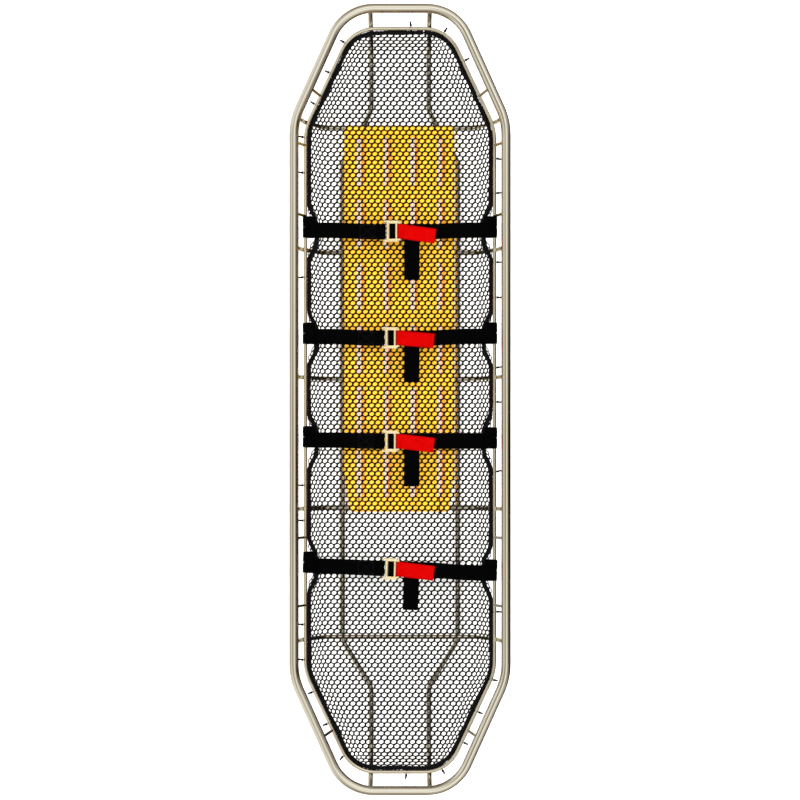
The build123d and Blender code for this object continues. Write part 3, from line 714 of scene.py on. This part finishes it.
def netTree():
    tree, given, result = newTree("netOnForm", {
        "Form": "NodeSocketObject", "Cell": "NodeSocketObject", "Pitch X": "NodeSocketFloat",
        "Pitch Y": "NodeSocketFloat", "Columns": "NodeSocketInt", "Rows": "NodeSocketInt",
        "Rim": "NodeSocketFloat", "From Y": "NodeSocketFloat", "To Y": "NodeSocketFloat",
        "Span": "NodeSocketFloat", "Finish": "NodeSocketMaterial"})
    add, maths, link = partial(treeNode, tree), partial(mathNode, tree), tree.links.new
    form = add("GeometryNodeObjectInfo", Object=given["Form"]).outputs["Geometry"]
    cell = add("GeometryNodeObjectInfo", Object=given["Cell"]).outputs["Geometry"]
    wide = maths("MULTIPLY", given["Pitch X"], maths("SUBTRACT", given["Columns"], 1.0))
    high = maths("MULTIPLY", given["Pitch Y"], maths("SUBTRACT", given["Rows"], 1.0))
    grid = add("GeometryNodeMeshGrid", Size_X=wide, Size_Y=high, Vertices_X=given["Columns"],
               Vertices_Y=given["Rows"]).outputs["Mesh"]
    place = tree.nodes.new("GeometryNodeInputPosition").outputs[0]
    split = add("ShaderNodeSeparateXYZ", Vector=place)
    row = maths("ROUND", maths("DIVIDE", split.outputs["Y"], given["Pitch Y"]))
    odd = maths("FLOORED_MODULO", row, 2.0)
    nudge = maths("MULTIPLY", odd, maths("DIVIDE", given["Pitch X"], 2.0))
    offset = add("ShaderNodeCombineXYZ", X=nudge)
    staggered = add("GeometryNodeSetPosition", Geometry=grid, Offset=offset.outputs[0]).outputs[0]

    def flatUv():
        here = tree.nodes.new("GeometryNodeInputPosition").outputs[0]
        scaled = add("ShaderNodeVectorMath", {"operation": "SCALE"})
        link(here, scaled.inputs[0])
        link(maths("DIVIDE", 1.0, given["Span"]), scaled.inputs["Scale"])
        moved = add("ShaderNodeVectorMath", {"operation": "ADD"})
        link(scaled.outputs[0], moved.inputs[0])
        moved.inputs[1].default_value = (0.5, 0.5, 0)
        return moved.outputs[0]

    def onForm(kind, value):
        sampler = add("GeometryNodeSampleUVSurface", {"data_type": kind}, Mesh=form)
        link(value, sampler.inputs["Value"])
        flat = add("GeometryNodeInputNamedAttribute", {"data_type": "FLOAT_VECTOR"}, Name="flat")
        link(flat.outputs["Attribute"], sampler.inputs["UV Map"])
        link(flatUv(), sampler.inputs["Sample UV"])
        return sampler.outputs

    edge = add("GeometryNodeInputNamedAttribute", {"data_type": "FLOAT"}, Name="edge").outputs["Attribute"]
    edgeHere = onForm("FLOAT", edge)
    beyond = maths("GREATER_THAN", edgeHere["Value"], given["Rim"])
    missed = maths("LESS_THAN", edgeHere["Is Valid"], 0.5)
    here = add("ShaderNodeSeparateXYZ", Vector=tree.nodes.new("GeometryNodeInputPosition").outputs[0])
    below = maths("LESS_THAN", here.outputs["Y"], given["From Y"])
    above = maths("GREATER_THAN", here.outputs["Y"], given["To Y"])
    unwanted = maths("MAXIMUM", maths("MAXIMUM", beyond, missed),
                     maths("MAXIMUM", below, above))
    kept = add("GeometryNodeDeleteGeometry", {"domain": "POINT"}, Geometry=staggered,
               Selection=unwanted).outputs[0]
    cells = add("GeometryNodeInstanceOnPoints", Points=kept, Instance=cell).outputs["Instances"]
    real = add("GeometryNodeRealizeInstances", Geometry=cells).outputs[0]
    welded = add("GeometryNodeMergeByDistance", Geometry=real, Distance=0.3 * mm).outputs[0]
    formPlace = tree.nodes.new("GeometryNodeInputPosition").outputs[0]
    shaped = add("GeometryNodeSetPosition", Geometry=welded,
                 Position=onForm("FLOAT_VECTOR", formPlace)["Value"]).outputs[0]
    done = add("GeometryNodeSetMaterial", Geometry=shaped, Material=given["Finish"])
    link(done.outputs[0], result)
    return tree


def thicken(piece, thickness, thinFactor):
    depth = np.zeros(len(piece.data.vertices))
    piece.data.attributes["depth"].data.foreach_get("value", depth)
    group = piece.vertex_groups.new(name="depth")
    group.add([int(i) for i in np.nonzero(depth > 0.9)[0]], 1.0, "REPLACE")
    group.add([int(i) for i in np.nonzero(depth <= 0.9)[0]], thinFactor, "REPLACE")
    solidify = piece.modifiers.new("strandDepth", "SOLIDIFY")
    solidify.thickness = thickness
    solidify.offset = 0
    solidify.vertex_group = "depth"
    mesh = finishedMesh(piece)
    piece.modifiers.clear()
    piece.data = mesh
    smoothFaces(mesh)


def makeNet():
    form, cell, tree = makeNetForm(), makeNetCell(), netTree()
    carrier = plainPiece("netCarrier", bpy.data.meshes.new("netCarrier"))
    seam, past = netMesh["seam"], netMesh["past"]
    for name, low, high in (("netHead", seam, past), ("netMiddle", -seam, seam), ("netFoot", -past, -seam)):
        mesh = runTree(carrier, tree, {
            "Form": form, "Cell": cell, "Pitch X": netMesh["pitchX"], "Pitch Y": netMesh["pitchY"],
            "Columns": netMesh["columns"], "Rows": netMesh["rows"], "Rim": netMesh["rimLimit"],
            "From Y": low, "To Y": high, "Span": uvSpan, "Finish": netBlack})
        piece = plainPiece(name, mesh)
        thicken(piece, netMesh["thickness"], netMesh["edgeThickness"])
        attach(piece, "litter")
    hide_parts("net")
    for helper in (form, cell, carrier):
        bpy.data.objects.remove(helper)


makeNet()


# border cord of the net

border = {
    "inset": 9 * mm, "height": 101 * mm, "radius": 7.0 * mm, "lobes": 3, "lobeDepth": 0.16, "lay": 34 * mm,
    "wander": 2.4 * mm, "pull": 20 * mm, "pullNear": 34 * mm, "pullFar": 72 * mm, "step": 5 * mm,
    "noseBend": 0.09, "shoulderBend": 0.14, "pullBend": 0.04, "outGrain": 16, "liftGrain": 13,
}


def borderCorners():
    a, b, s, n, _ = octagonCorners(lowerRail, border["inset"])
    corners, radii = [], []
    for side in (1, -1):
        head = [(n, b, border["noseBend"]), (a, s, border["shoulderBend"])]
        foot = [(a, -s, border["shoulderBend"]), (n, -b, border["noseBend"])]
        run = []
        for strap in straps if side > 0 else straps[::-1]:
            middle = strap["origin"].y + side * a * strap["along"].y
            steps = [(border["pullFar"], 0), (border["pullNear"], border["pull"]),
                     (-border["pullNear"], border["pull"]), (-border["pullFar"], 0)]
            run += [(a - pull, middle + side * offset, border["pullBend"]) for offset, pull in steps]
        whole = head + run + foot if side > 0 else foot[::-1] + run + head[::-1]
        for x, y, radius in whole:
            corners.append((side * x, y, border["height"]))
            radii.append(radius)
    return corners, radii


def cordTree():
    tree, given, result = newTree("laidCord", {
        "Radius": "NodeSocketFloat", "Lobes": "NodeSocketInt", "Lobe Depth": "NodeSocketFloat",
        "Lay": "NodeSocketFloat", "Step": "NodeSocketFloat", "Sides": "NodeSocketInt",
        "Seed": "NodeSocketFloat", "Finish": "NodeSocketMaterial"})
    add, maths, link = partial(treeNode, tree), partial(mathNode, tree), tree.links.new
    even = add("GeometryNodeResampleCurve", {"mode": "LENGTH"}, Curve=given["Geometry"], Length=given["Step"])
    run = tree.nodes.new("GeometryNodeSplineParameter").outputs["Length"]
    twist = maths("MULTIPLY", maths("DIVIDE", run, given["Lay"]), 2 * pi)
    tilted = add("GeometryNodeSetCurveTilt", Curve=even.outputs["Curve"], Tilt=twist)
    lump = add("ShaderNodeTexNoise", {"noise_dimensions": "1D"}, Scale=22.0)
    link(maths("ADD", run, given["Seed"]), lump.inputs["W"])
    swell = maths("ADD", 0.72, maths("MULTIPLY", lump.outputs[0], 0.56))
    circle = add("GeometryNodeCurvePrimitiveCircle", {"mode": "RADIUS"}, Resolution=given["Sides"],
                 Radius=given["Radius"])
    param = tree.nodes.new("GeometryNodeSplineParameter").outputs["Factor"]
    turned = maths("MULTIPLY", maths("MULTIPLY", param, given["Lobes"]), pi)
    wave = maths("ABSOLUTE", maths("SINE", turned))
    scale = maths("ADD", maths("SUBTRACT", 1.0, given["Lobe Depth"]),
                  maths("MULTIPLY", wave, given["Lobe Depth"]))
    spot = tree.nodes.new("GeometryNodeInputPosition").outputs[0]
    lobed = add("ShaderNodeVectorMath", {"operation": "SCALE"})
    link(spot, lobed.inputs[0])
    link(scale, lobed.inputs["Scale"])
    profile = add("GeometryNodeSetPosition", Geometry=circle.outputs["Curve"], Position=lobed.outputs[0])
    body = add("GeometryNodeCurveToMesh", Curve=tilted.outputs["Curve"], Profile_Curve=profile.outputs[0],
               Scale=swell, Fill_Caps=True)
    real = add("GeometryNodeRealizeInstances", Geometry=body.outputs["Mesh"])
    done = add("GeometryNodeSetMaterial", Geometry=real.outputs[0], Material=given["Finish"])
    link(done.outputs[0], result)
    return tree


laidCord = cordTree()


def cordPiece(name, points, closed, values):
    curve = bpy.data.curves.new(name + "Line", "CURVE")
    curve.dimensions = "3D"
    line = curve.splines.new("POLY")
    line.points.add(len(points) - 1)
    for spot, point in zip(line.points, points):
        spot.co = (*point, 1)
    line.use_cyclic_u = closed
    carrier = plainPiece(name + "Line", curve)
    mesh = runTree(carrier, laidCord, values)
    bpy.data.objects.remove(carrier)
    smoothFaces(mesh)
    tidyNormals(mesh)
    return plainPiece(name, mesh)


def makeBorder():
    corners, radii = borderCorners()
    path = softPath(corners, radii, border["step"], closed=True)
    wandered = []
    for p in path:
        push = noise.noise(p * border["outGrain"]) * border["wander"]
        lift = noise.noise(p * border["liftGrain"] + Vector((4, 1, 7))) * border["wander"]
        out = Vector((p.x, p.y * 0.2, 0)).normalized()
        wandered.append(p + out * push + up * lift)
    piece = cordPiece("netBorder", wandered, True, {
        "Radius": border["radius"], "Lobes": border["lobes"], "Lobe Depth": border["lobeDepth"],
        "Lay": border["lay"], "Step": border["step"], "Sides": 14, "Seed": 3.0, "Finish": cordBlack})
    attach(piece, "litter")
    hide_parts("net_edge_cord")
    print("border cord made:", len(piece.data.polygons))


makeBorder()


# cable ties round the lower rail and the border cord

tie = {
    "band": 4.8 * mm, "wall": 1.4 * mm, "gap": 0.3 * mm, "head": 6.4 * mm, "tail": 8 * mm, "pitch": 95 * mm,
    "dropX": -9 * mm, "dropZ": -11 * mm, "sides": 22, "clearRib": 15 * mm, "clearStrut": 13 * mm,
    "clearStrap": 80 * mm, "runnerX": 80 * mm, "clearRunner": 17 * mm, "askew": 24,
    "strutsY": (0.695, 0.503, -0.374, -0.559, 0.829, -0.900, 0.018),    # the last is the rails' own joint
}


def tieLoop(offset):
    # outline round the rail and the cord beside it
    inner = lowerRail["rodRadius"] + offset
    lead = Vector((tie["dropX"], tie["dropZ"]))
    side = Vector((-lead.y, lead.x)).normalized()
    half = tie["sides"] // 2
    start = atan2(side.y, side.x)
    loop = [Vector((cos(start - pi * k / half), sin(start - pi * k / half))) * inner for k in range(half + 1)]
    return loop + [lead - p for p in loop]


def makeTiePart():
    outer = tieLoop(tie["gap"] + tie["wall"])
    inner = tieLoop(tie["gap"])
    half = tie["band"] / 2
    count = len(outer)
    verts, faces = [], []
    for ring in (outer, inner):
        for y in (-half, half):
            verts += [(p.x, y, p.y) for p in ring]
    for i in range(count):
        j = (i + 1) % count
        faces += [(i, j, count + j, count + i), (2 * count + i, 3 * count + i, 3 * count + j, 2 * count + j),
                  (i, 2 * count + i, 2 * count + j, j), (count + i, count + j, 3 * count + j, 3 * count + i)]
    band = meshPiece("tieBand", verts, faces, None)
    reach = lowerRail["rodRadius"] + tie["gap"]
    blockHalf = tie["head"] / 2
    block = bmesh.new()
    stretch = Matrix.Diagonal((tie["head"], tie["head"] * 0.95, tie["head"] * 0.8, 1))
    bmesh.ops.create_cube(block, size=1, matrix=Matrix.Translation((reach + blockHalf, 0, reach)) @ stretch)
    bmesh.ops.bevel(block, geom=block.edges[:], offset=0.6 * mm, segments=2, affect="EDGES")
    mesh = bpy.data.meshes.new("tieBlock")
    block.to_mesh(mesh)
    block.free()
    head = plainPiece("tieBlock", mesh)
    sections = []
    steps = 7
    for k in range(steps + 1):
        along = k / steps
        width = tie["band"] * (0.5 if along < 1 else 0.3)
        x = reach + tie["head"] * 0.9 + tie["tail"] * along
        z = reach + 2.5 * mm * along ** 2
        sections.append((Vector((x, -width, z)), Vector((x, width, z)), up))
    tail = ribbonPiece("tieTail", sections, tie["wall"] * 0.9, None, 2)
    return joinMeshes("tiePart", [band, head, tail])


def ribbonPiece(name, sections, thickness, material, across=6):
    # a flat strip through its cross sections: left edge, right edge and the way its face looks
    verts, faces, uvs = [], [], []
    ring = 2 * (across + 1)
    run = 0.0
    last = None
    for left, right, normal in sections:
        middle = (left + right) / 2
        run += (middle - last).length if last else 0.0
        last = middle
        width = (right - left).length
        for j in range(across + 1):
            share = j / across
            bulge = 0.45 if j in (0, across) else 1.0
            verts.append(left.lerp(right, share) + normal * thickness / 2 * bulge)
            uvs.append((run, share * width))
        for j in range(across, -1, -1):
            share = j / across
            bulge = 0.45 if j in (0, across) else 1.0
            verts.append(left.lerp(right, share) - normal * thickness / 2 * bulge)
            uvs.append((run, share * width))
    rows = len(sections)
    for i in range(rows - 1):
        for j in range(ring):
            k = (j + 1) % ring
            faces.append((i * ring + j, i * ring + k, (i + 1) * ring + k, (i + 1) * ring + j))
    for base in (0, (rows - 1) * ring):
        for j in range(across):
            faces.append((base + j, base + j + 1, base + ring - 2 - j, base + ring - 1 - j))
    return meshPiece(name, verts, faces, material, uvs)


def railStations():
    # even steps round the lower rail, leaving out the straps and the rods that meet it
    a, b, s, n, _ = octagonCorners(lowerRail, 0)
    z = lowerRail["height"]
    loop = [(a, s, z), (n, b, z), (-n, b, z), (-a, s, z), (-a, -s, z), (-n, -b, z), (n, -b, z), (a, -s, z)]
    bends = [lowerRail["shoulderBend"], lowerRail["noseBend"]]
    path = softPath(loop, [bends[0], bends[1], bends[1], bends[0]] * 2, 4 * mm, closed=True)
    rods = [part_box(f"rib_{i}") for i in range(1, 6)]
    busy = [((low[1] + high[1]) / 2, tie["clearRib"]) for low, high in rods]
    busy += [(y, tie["clearStrut"]) for y in tie["strutsY"]]
    busy += [(strap["origin"].y, tie["clearStrap"]) for strap in straps]
    steps = round(sum((q - p).length for p, q in zip(path, path[1:])) / tie["pitch"])
    for step in range(steps):
        i = int((step + 0.5) / steps * len(path))
        spot, along = path[i], (path[(i + 1) % len(path)] - path[i - 1]).normalized()
        onEnd = abs(along.x) > 0.9
        if onEnd and abs(abs(spot.x) - tie["runnerX"]) < tie["clearRunner"]:
            continue
        if not onEnd and any(abs(spot.y - y) < reach for y, reach in busy):
            continue
        yield spot, along


def makeTies():
    part = makeTiePart()
    places = []
    for i, (spot, along) in enumerate(railStations()):
        out = along.cross(up)
        if out.dot(spot) < 0:
            out = -out
        turn = Matrix((out, up.cross(out), up)).transposed()
        twist = Matrix.Rotation(radians(tie["askew"] * noise.noise(Vector((i * 3.7, 0.3, 0)))), 3, "Z")
        places.append((spot, turn @ twist))
    piece = scatterParts("cableTies", part, places, tieBlack)
    bpy.data.objects.remove(part)
    tidyNormals(piece.data)
    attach(piece, "litter")
    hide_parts("net_ties")
    print("cable ties made:", len(places))


makeTies()


# lashings of the back panel

lashing = {"radius": 1.3 * mm, "gap": 0.3 * mm, "headX": 93 * mm, "slotX": 111.75 * mm,
           "bend": 2.5 * mm, "step": 1.2 * mm, "lay": 9 * mm, "slots": (0.732, -0.269)}
knot = {"points": 14, "turn": 0.9, "wide": 3.2, "climb": 0.35, "start": -2, "lift": 1.4, "high": 1.6,
        "slim": 0.85}


def makeLashings():
    half = lashing["gap"] + lashing["radius"]
    topZ = panelHigh[2] + half
    pieces = []
    for side in (1, -1):
        slotX = panelMiddleX + side * lashing["slotX"]
        headSlot, footSlot = lashing["slots"]
        for rib, edgeX, slotY, away in (("rib_1", side * lashing["headX"], headSlot, 1),
                                        ("rib_4", slotX, footSlot, -1)):
            low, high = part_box(rib)
            lowZ = low[2] - half
            ribNear = (low[1] if away > 0 else high[1]) - away * half
            edgeY = max(panelHigh[1], high[1]) + half if away > 0 else min(panelLow[1], low[1]) - half
            slotAt = slotY - away * half
            share = (ribNear - slotAt) / (edgeY - slotAt)
            nearX = slotX + (edgeX - slotX) * share
            ribZ = low[2] + 6 * mm
            loop = [(slotX, slotAt, topZ), (edgeX, edgeY, topZ), (edgeX, edgeY, lowZ), (nearX, ribNear, lowZ),
                    (slotX, slotAt, ribZ)]
            path = softPath(loop, [lashing["bend"]] * 5, lashing["step"], closed=True)
            cord = {"Lobes": 3, "Lobe Depth": 0.2, "Lay": lashing["lay"], "Finish": cordBlack}
            pieces.append(cordPiece(f"lashing{len(pieces)}", path, True, cord | {
                "Radius": lashing["radius"], "Step": lashing["step"], "Sides": 10, "Seed": 1.0 * len(pieces)}))
            tied = []
            for k in range(knot["points"]):
                turn = k * knot["turn"]
                tied.append(Vector((edgeX, edgeY, topZ)) + Vector((
                    sin(turn) * knot["wide"], away * (k * knot["climb"] + knot["start"]),
                    knot["lift"] + cos(turn) * knot["high"])) * mm)
            pieces.append(cordPiece(f"lashing{len(pieces)}", tied, False, cord | {
                "Radius": lashing["radius"] * knot["slim"], "Step": 1.0 * mm, "Sides": 8,
                "Seed": 2.0 * len(pieces)}))
    piece = joinMeshes("panelLashings", pieces)
    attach(piece, "litter")
    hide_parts("panel_ties")
    print("lashings made")


makeLashings()


# patient straps

web = {
    "width": 42 * mm, "thickness": 2.1 * mm, "bandZ": 117 * mm, "turn": 3.3 * mm, "wrapX": -37 * mm,
    "anchorX": -47 * mm, "second": 2.3 * mm, "endX": 240 * mm, "foldX": 32 * mm, "foldLift": 1.25 * mm,
    "tailEnd": 85 * mm, "step": 3 * mm, "wave": 0.7 * mm,
}
hitch = {
    "offset": 9 * mm, "wrapRadius": 6.5 * mm, "loopWidth": 28 * mm, "loopAt": 14.5 * mm,
    "startX": (231 * mm, 240 * mm), "startZ": (119.6 * mm, 120 * mm), "backBy": (14 * mm, 25 * mm),
    "backZ": (-2 * mm, 1.5 * mm), "bightHalf": 28.5 * mm, "bightWidth": 27 * mm, "bightX": 247 * mm,
    "bightTop": 122.5 * mm, "bightFoot": 109 * mm, "bightBend": 5 * mm, "bightSlope": 1.5 * mm,
}


def stripSections(strap, path, width, middle=0.0):
    # path in the strap's upright plane: x along it, z up
    half = width / 2
    sections = []
    for i, p in enumerate(path):
        ahead = heading(path, i)
        normal = strap["along"] * -ahead.z + up * ahead.x
        wave = web["wave"] * noise.noise(Vector((p.x * 18, strap["origin"].y * 5, 2.2)))
        sections.append((strapPoint(strap, p.x, middle - half, p.z + wave),
                         strapPoint(strap, p.x, middle + half, p.z - wave), normal))
    return sections


def flat(points, radii, step=None):
    return softPath([(x, 0, z) for x, z in points], radii, step or web["step"])


def turnBack(x, lowZ, highZ, outward):
    # half a turn round a bar, from the lower ply to the upper
    middle, radius = (lowZ + highZ) / 2, (highZ - lowZ) / 2
    return [Vector((x + outward * radius * sin(pi * k / 12), 0, middle - radius * cos(pi * k / 12)))
            for k in range(1, 12)]


def makeHitch(strap, side, tag):
    a = lowerRail["halfWidth"] / strap["along"].x
    z, r = lowerRail["height"], hitch["wrapRadius"]
    parts = []
    for where in (-1, 1):
        over = [Vector((side * x, 0, height)) for x, height in zip(hitch["startX"], hitch["startZ"])]
        around = [Vector((side * (a + r * cos(t)), 0, z + r * sin(t)))
                  for t in (radians(d) for d in range(100, -111, -15))]
        back = [Vector((side * (a - by), 0, z + rise)) for by, rise in zip(hitch["backBy"], hitch["backZ"])]
        sections = stripSections(strap, over + around + back, hitch["loopWidth"],
                                 hitch["offset"] + where * hitch["loopAt"])
        parts.append(ribbonPiece(f"hitchLoop{tag}{where}", sections, web["thickness"], webBlack))
    low, high = hitch["offset"] - hitch["bightHalf"], hitch["offset"] + hitch["bightHalf"]
    foot, top = hitch["bightFoot"], hitch["bightTop"]
    bight = softPath([(0, low, foot), (0, low, top), (0, high, top), (0, high, foot)],
                     [hitch["bightBend"]] * 2, 2.5 * mm)
    sections = []
    for i, p in enumerate(bight):
        ahead = heading(bight, i)
        normal = strap["across"] * -ahead.z + up * ahead.y
        centre = hitch["bightX"] + 2.5 * mm * noise.noise(Vector((p.y * 30, side, strap["origin"].y)))
        near, far = centre - hitch["bightWidth"] / 2, centre + hitch["bightWidth"] / 2
        sections.append((strapPoint(strap, side * near, p.y, p.z),
                         strapPoint(strap, side * far, p.y, p.z - hitch["bightSlope"]), normal))
    parts.append(ribbonPiece(f"hitchBight{tag}", sections, web["thickness"], webBlack))
    return parts


# how the folded layers step down behind the buckle, and how the tail falls
leftFold = {"level": 6 * mm, "down": 22 * mm, "reach": 70 * mm, "bend": 8 * mm,
            "stitchNear": 66 * mm, "stitchFar": 26 * mm, "stitchWide": 34 * mm}
rightFold = {"level": 20 * mm, "down": 42 * mm, "bend": 14 * mm}
fall = {"level": 14 * mm, "down": 12 * mm, "share": 0.55, "bends": (40 * mm, 60 * mm), "step": 4 * mm,
        "sway": 1.5 * mm, "grain": 11, "strapGrain": 3, "layer": 5.0}


def makeLeftWeb(strap, number):
    x = strap["pinX"] + web["anchorX"] - web["wrapX"]
    low, high = web["bandZ"], web["bandZ"] + 2 * web["turn"]
    second = web["bandZ"] + web["second"]
    end = -web["endX"]
    path = flat([(end, low), (x, low)], [])
    path += turnBack(x, low, high, 1)
    path += flat([(x, high), (x - leftFold["level"], high), (x - leftFold["down"], second),
                  (x - leftFold["reach"], second)], [leftFold["bend"]] * 2)
    sections = stripSections(strap, path, web["width"])
    band = ribbonPiece(f"webLeftBand{number}", sections, web["thickness"], webBlack)
    piece = joinMeshes(f"webLeft{number}", [band] + makeHitch(strap, -1, f"L{number}"))
    stitchBox(strap, f"webLeftStitches{number}", x - leftFold["stitchNear"], x - leftFold["stitchFar"],
              second + web["thickness"] / 2, leftFold["stitchWide"], threadBlack, "litter")
    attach(piece, "litter")
    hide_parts(f"webbing_left_{number}")


def foldSections(strap):
    # the strip runs to a diagonal fold, turns over and heads across the strap
    half = web["width"] / 2
    left, right = web["foldX"] - half, web["foldX"] + half
    z = web["bandZ"] + web["second"]
    sections = []
    steps = 5
    for k in range(1, steps + 1):
        share = k / steps
        sections.append((strapPoint(strap, left + share * mm, -half, z),
                         strapPoint(strap, left + (right - left) * share, half, z), up))
    out = (strap["along"] - strap["across"]).normalized()
    bend = web["foldLift"]
    for k in range(1, 8):
        angle = pi * k / 8
        push = out * bend * sin(angle) + up * bend * (1 - cos(angle))
        normal = out * -sin(angle) + up * cos(angle)
        sections.append((strapPoint(strap, left + mm, -half, z) + push,
                         strapPoint(strap, right, half, z) + push, normal))
    top = z + 2 * bend
    for k in range(1, steps + 1):
        share = k / steps
        sections.append((strapPoint(strap, left, -half - share * mm, top),
                         strapPoint(strap, right, half - (2 * half + mm) * share, top), -up))
    drop = [(-half - mm, top), (-half - fall["level"], top),
            ((-half - strap["tail"]) * fall["share"], top - fall["down"]), (-strap["tail"], web["tailEnd"])]
    path = softPath([(0, y, height) for y, height in drop], fall["bends"], fall["step"])
    for i, p in enumerate(path[1:], start=1):
        ahead = heading(path, i)
        normal = -(strap["across"] * ahead.z - up * ahead.y) * (1 if ahead.y > 0 else -1)
        if normal.z > 0:
            normal = -normal
        grain = Vector((p.y * fall["grain"], strap["origin"].y * fall["strapGrain"], fall["layer"]))
        sway = fall["sway"] * noise.noise(grain) * i / len(path)
        sections.append((strapPoint(strap, left + sway, p.y, p.z),
                         strapPoint(strap, right + sway, p.y, p.z), normal))
    return sections


def makeRightWeb(strap, number):
    x = strap["pinX"]
    low, high = web["bandZ"], web["bandZ"] + 2 * web["turn"]
    second = web["bandZ"] + web["second"]
    left = web["foldX"] - web["width"] / 2
    path = flat([(web["endX"], low), (x, low)], [])
    path += turnBack(x, low, high, -1)
    path += flat([(x, high), (x + rightFold["level"], high), (x + rightFold["down"], second), (left, second)],
                 [rightFold["bend"]] * 2)
    sections = stripSections(strap, path, web["width"])
    band = ribbonPiece(f"webRightBand{number}", sections + foldSections(strap), web["thickness"], webBlack)
    piece = joinMeshes(f"webRight{number}", [band] + makeHitch(strap, 1, f"R{number}"))
    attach(piece, "litter")
    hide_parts(f"webbing_right_{number}")


# stitching

stitch = {"length": 2.6 * mm, "radius": 0.42 * mm, "pitch": 3.4 * mm}


def makeStitchPart():
    bm = bmesh.new()
    bmesh.ops.create_uvsphere(bm, u_segments=6, v_segments=5, radius=1)
    bmesh.ops.scale(bm, vec=(stitch["length"] / 2, stitch["radius"], stitch["radius"]), verts=bm.verts)
    mesh = bpy.data.meshes.new("stitchPart")
    bm.to_mesh(mesh)
    bm.free()
    return plainPiece("stitchPart", mesh)


stitchPart = makeStitchPart()


def stitchLine(start, end, normal):
    run = end - start
    count = max(2, round(run.length / stitch["pitch"]))
    ahead = run.normalized()
    turn = Matrix((ahead, normal.cross(ahead), normal)).transposed()
    return [(start.lerp(end, (k + 0.5) / count), turn) for k in range(count)]


def boxLines(corners, normal):
    places = []
    for i in range(4):
        places += stitchLine(corners[i], corners[(i + 1) % 4], normal)
    places += stitchLine(corners[0], corners[2], normal)
    places += stitchLine(corners[1], corners[3], normal)
    return places


def stitchBox(strap, name, nearX, farX, z, width, material, body):
    half = width / 2
    corners = [strapPoint(strap, x, w, z)
               for x, w in ((nearX, -half), (farX, -half), (farX, half), (nearX, half))]
    piece = scatterParts(name, stitchPart, boxLines(corners, up), material)
    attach(piece, body)


# release tabs

tab = {"width": 40 * mm, "reach": 98 * mm, "thickness": 2.0 * mm, "grip": 32 * mm, "loop": 3.9 * mm,
       "ply": 1.05 * mm, "ramp": 14 * mm, "pivot": 3 * mm, "taper": 11 * mm, "bend": 9 * mm, "droop": 1.2 * mm,
       "stitches": ((15 * mm, 36 * mm), (74 * mm, 93 * mm)), "stitchInset": 5 * mm, "stitchDroop": 0.7 * mm}


def tabPlace(strap, x, w, z):
    # the tab swings gently to its own angle just past the grip bar
    grip = strap["pinX"] + tab["grip"]
    pivot = grip + tab["pivot"]
    share = min(max((x - grip) / tab["ramp"], 0), 1)
    angle = radians(-strap["tabTilt"]) * share * share * (3 - 2 * share)
    dx = x - pivot
    return strap["origin"] + strap["along"] * (pivot + dx * cos(angle) - w * sin(angle)) + \
        strap["across"] * (dx * sin(angle) + w * cos(angle)) + up * z


def makeTab(strap, number):
    grip = strap["pinX"] + tab["grip"]
    z = strap["pin"].z
    loop, ply, end = tab["loop"], tab["ply"], grip + tab["reach"]
    near, far, bends = grip + tab["pivot"], grip + tab["taper"], [tab["bend"]] * 2
    lower = flat([(end, z - ply), (far, z - ply), (near, z - loop), (grip, z - loop)], bends, 2.5 * mm)
    upper = flat([(grip, z + loop), (near, z + loop), (far, z + ply), (end, z + ply)], bends, 2.5 * mm)
    path = lower + turnBack(grip, z - loop, z + loop, -1) + upper
    half = tab["width"] / 2
    sections = []
    for i, p in enumerate(path):
        ahead = heading(path, i)
        normal = strap["along"] * -ahead.z + up * ahead.x
        droop = -tab["droop"] * max(0.0, (p.x - grip) / tab["reach"]) ** 2
        sections.append((tabPlace(strap, p.x, -half, p.z + droop),
                         tabPlace(strap, p.x, half, p.z + droop), normal))
    piece = ribbonPiece(f"releaseTab{number}", sections, tab["thickness"], webRed)
    body = f"lever_{number}"
    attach(piece, body)
    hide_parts(f"release_tab_{number}")
    places = []
    inset = half - tab["stitchInset"]
    face = z + ply + tab["thickness"] / 2
    for near, far in tab["stitches"]:
        corners = [tabPlace(strap, grip + x, w, face - tab["stitchDroop"] * (x / tab["reach"]) ** 2)
                   for x, w in ((near, -inset), (far, -inset), (far, inset), (near, inset))]
        places += boxLines(corners, up)
    stitches = scatterParts(f"releaseTabStitches{number}", stitchPart, places, threadRed)
    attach(stitches, body)


for number, strap in enumerate(straps, start=1):
    makeLeftWeb(strap, number)
    makeRightWeb(strap, number)
    makeTab(strap, number)
bpy.data.objects.remove(stitchPart)
print("straps made")
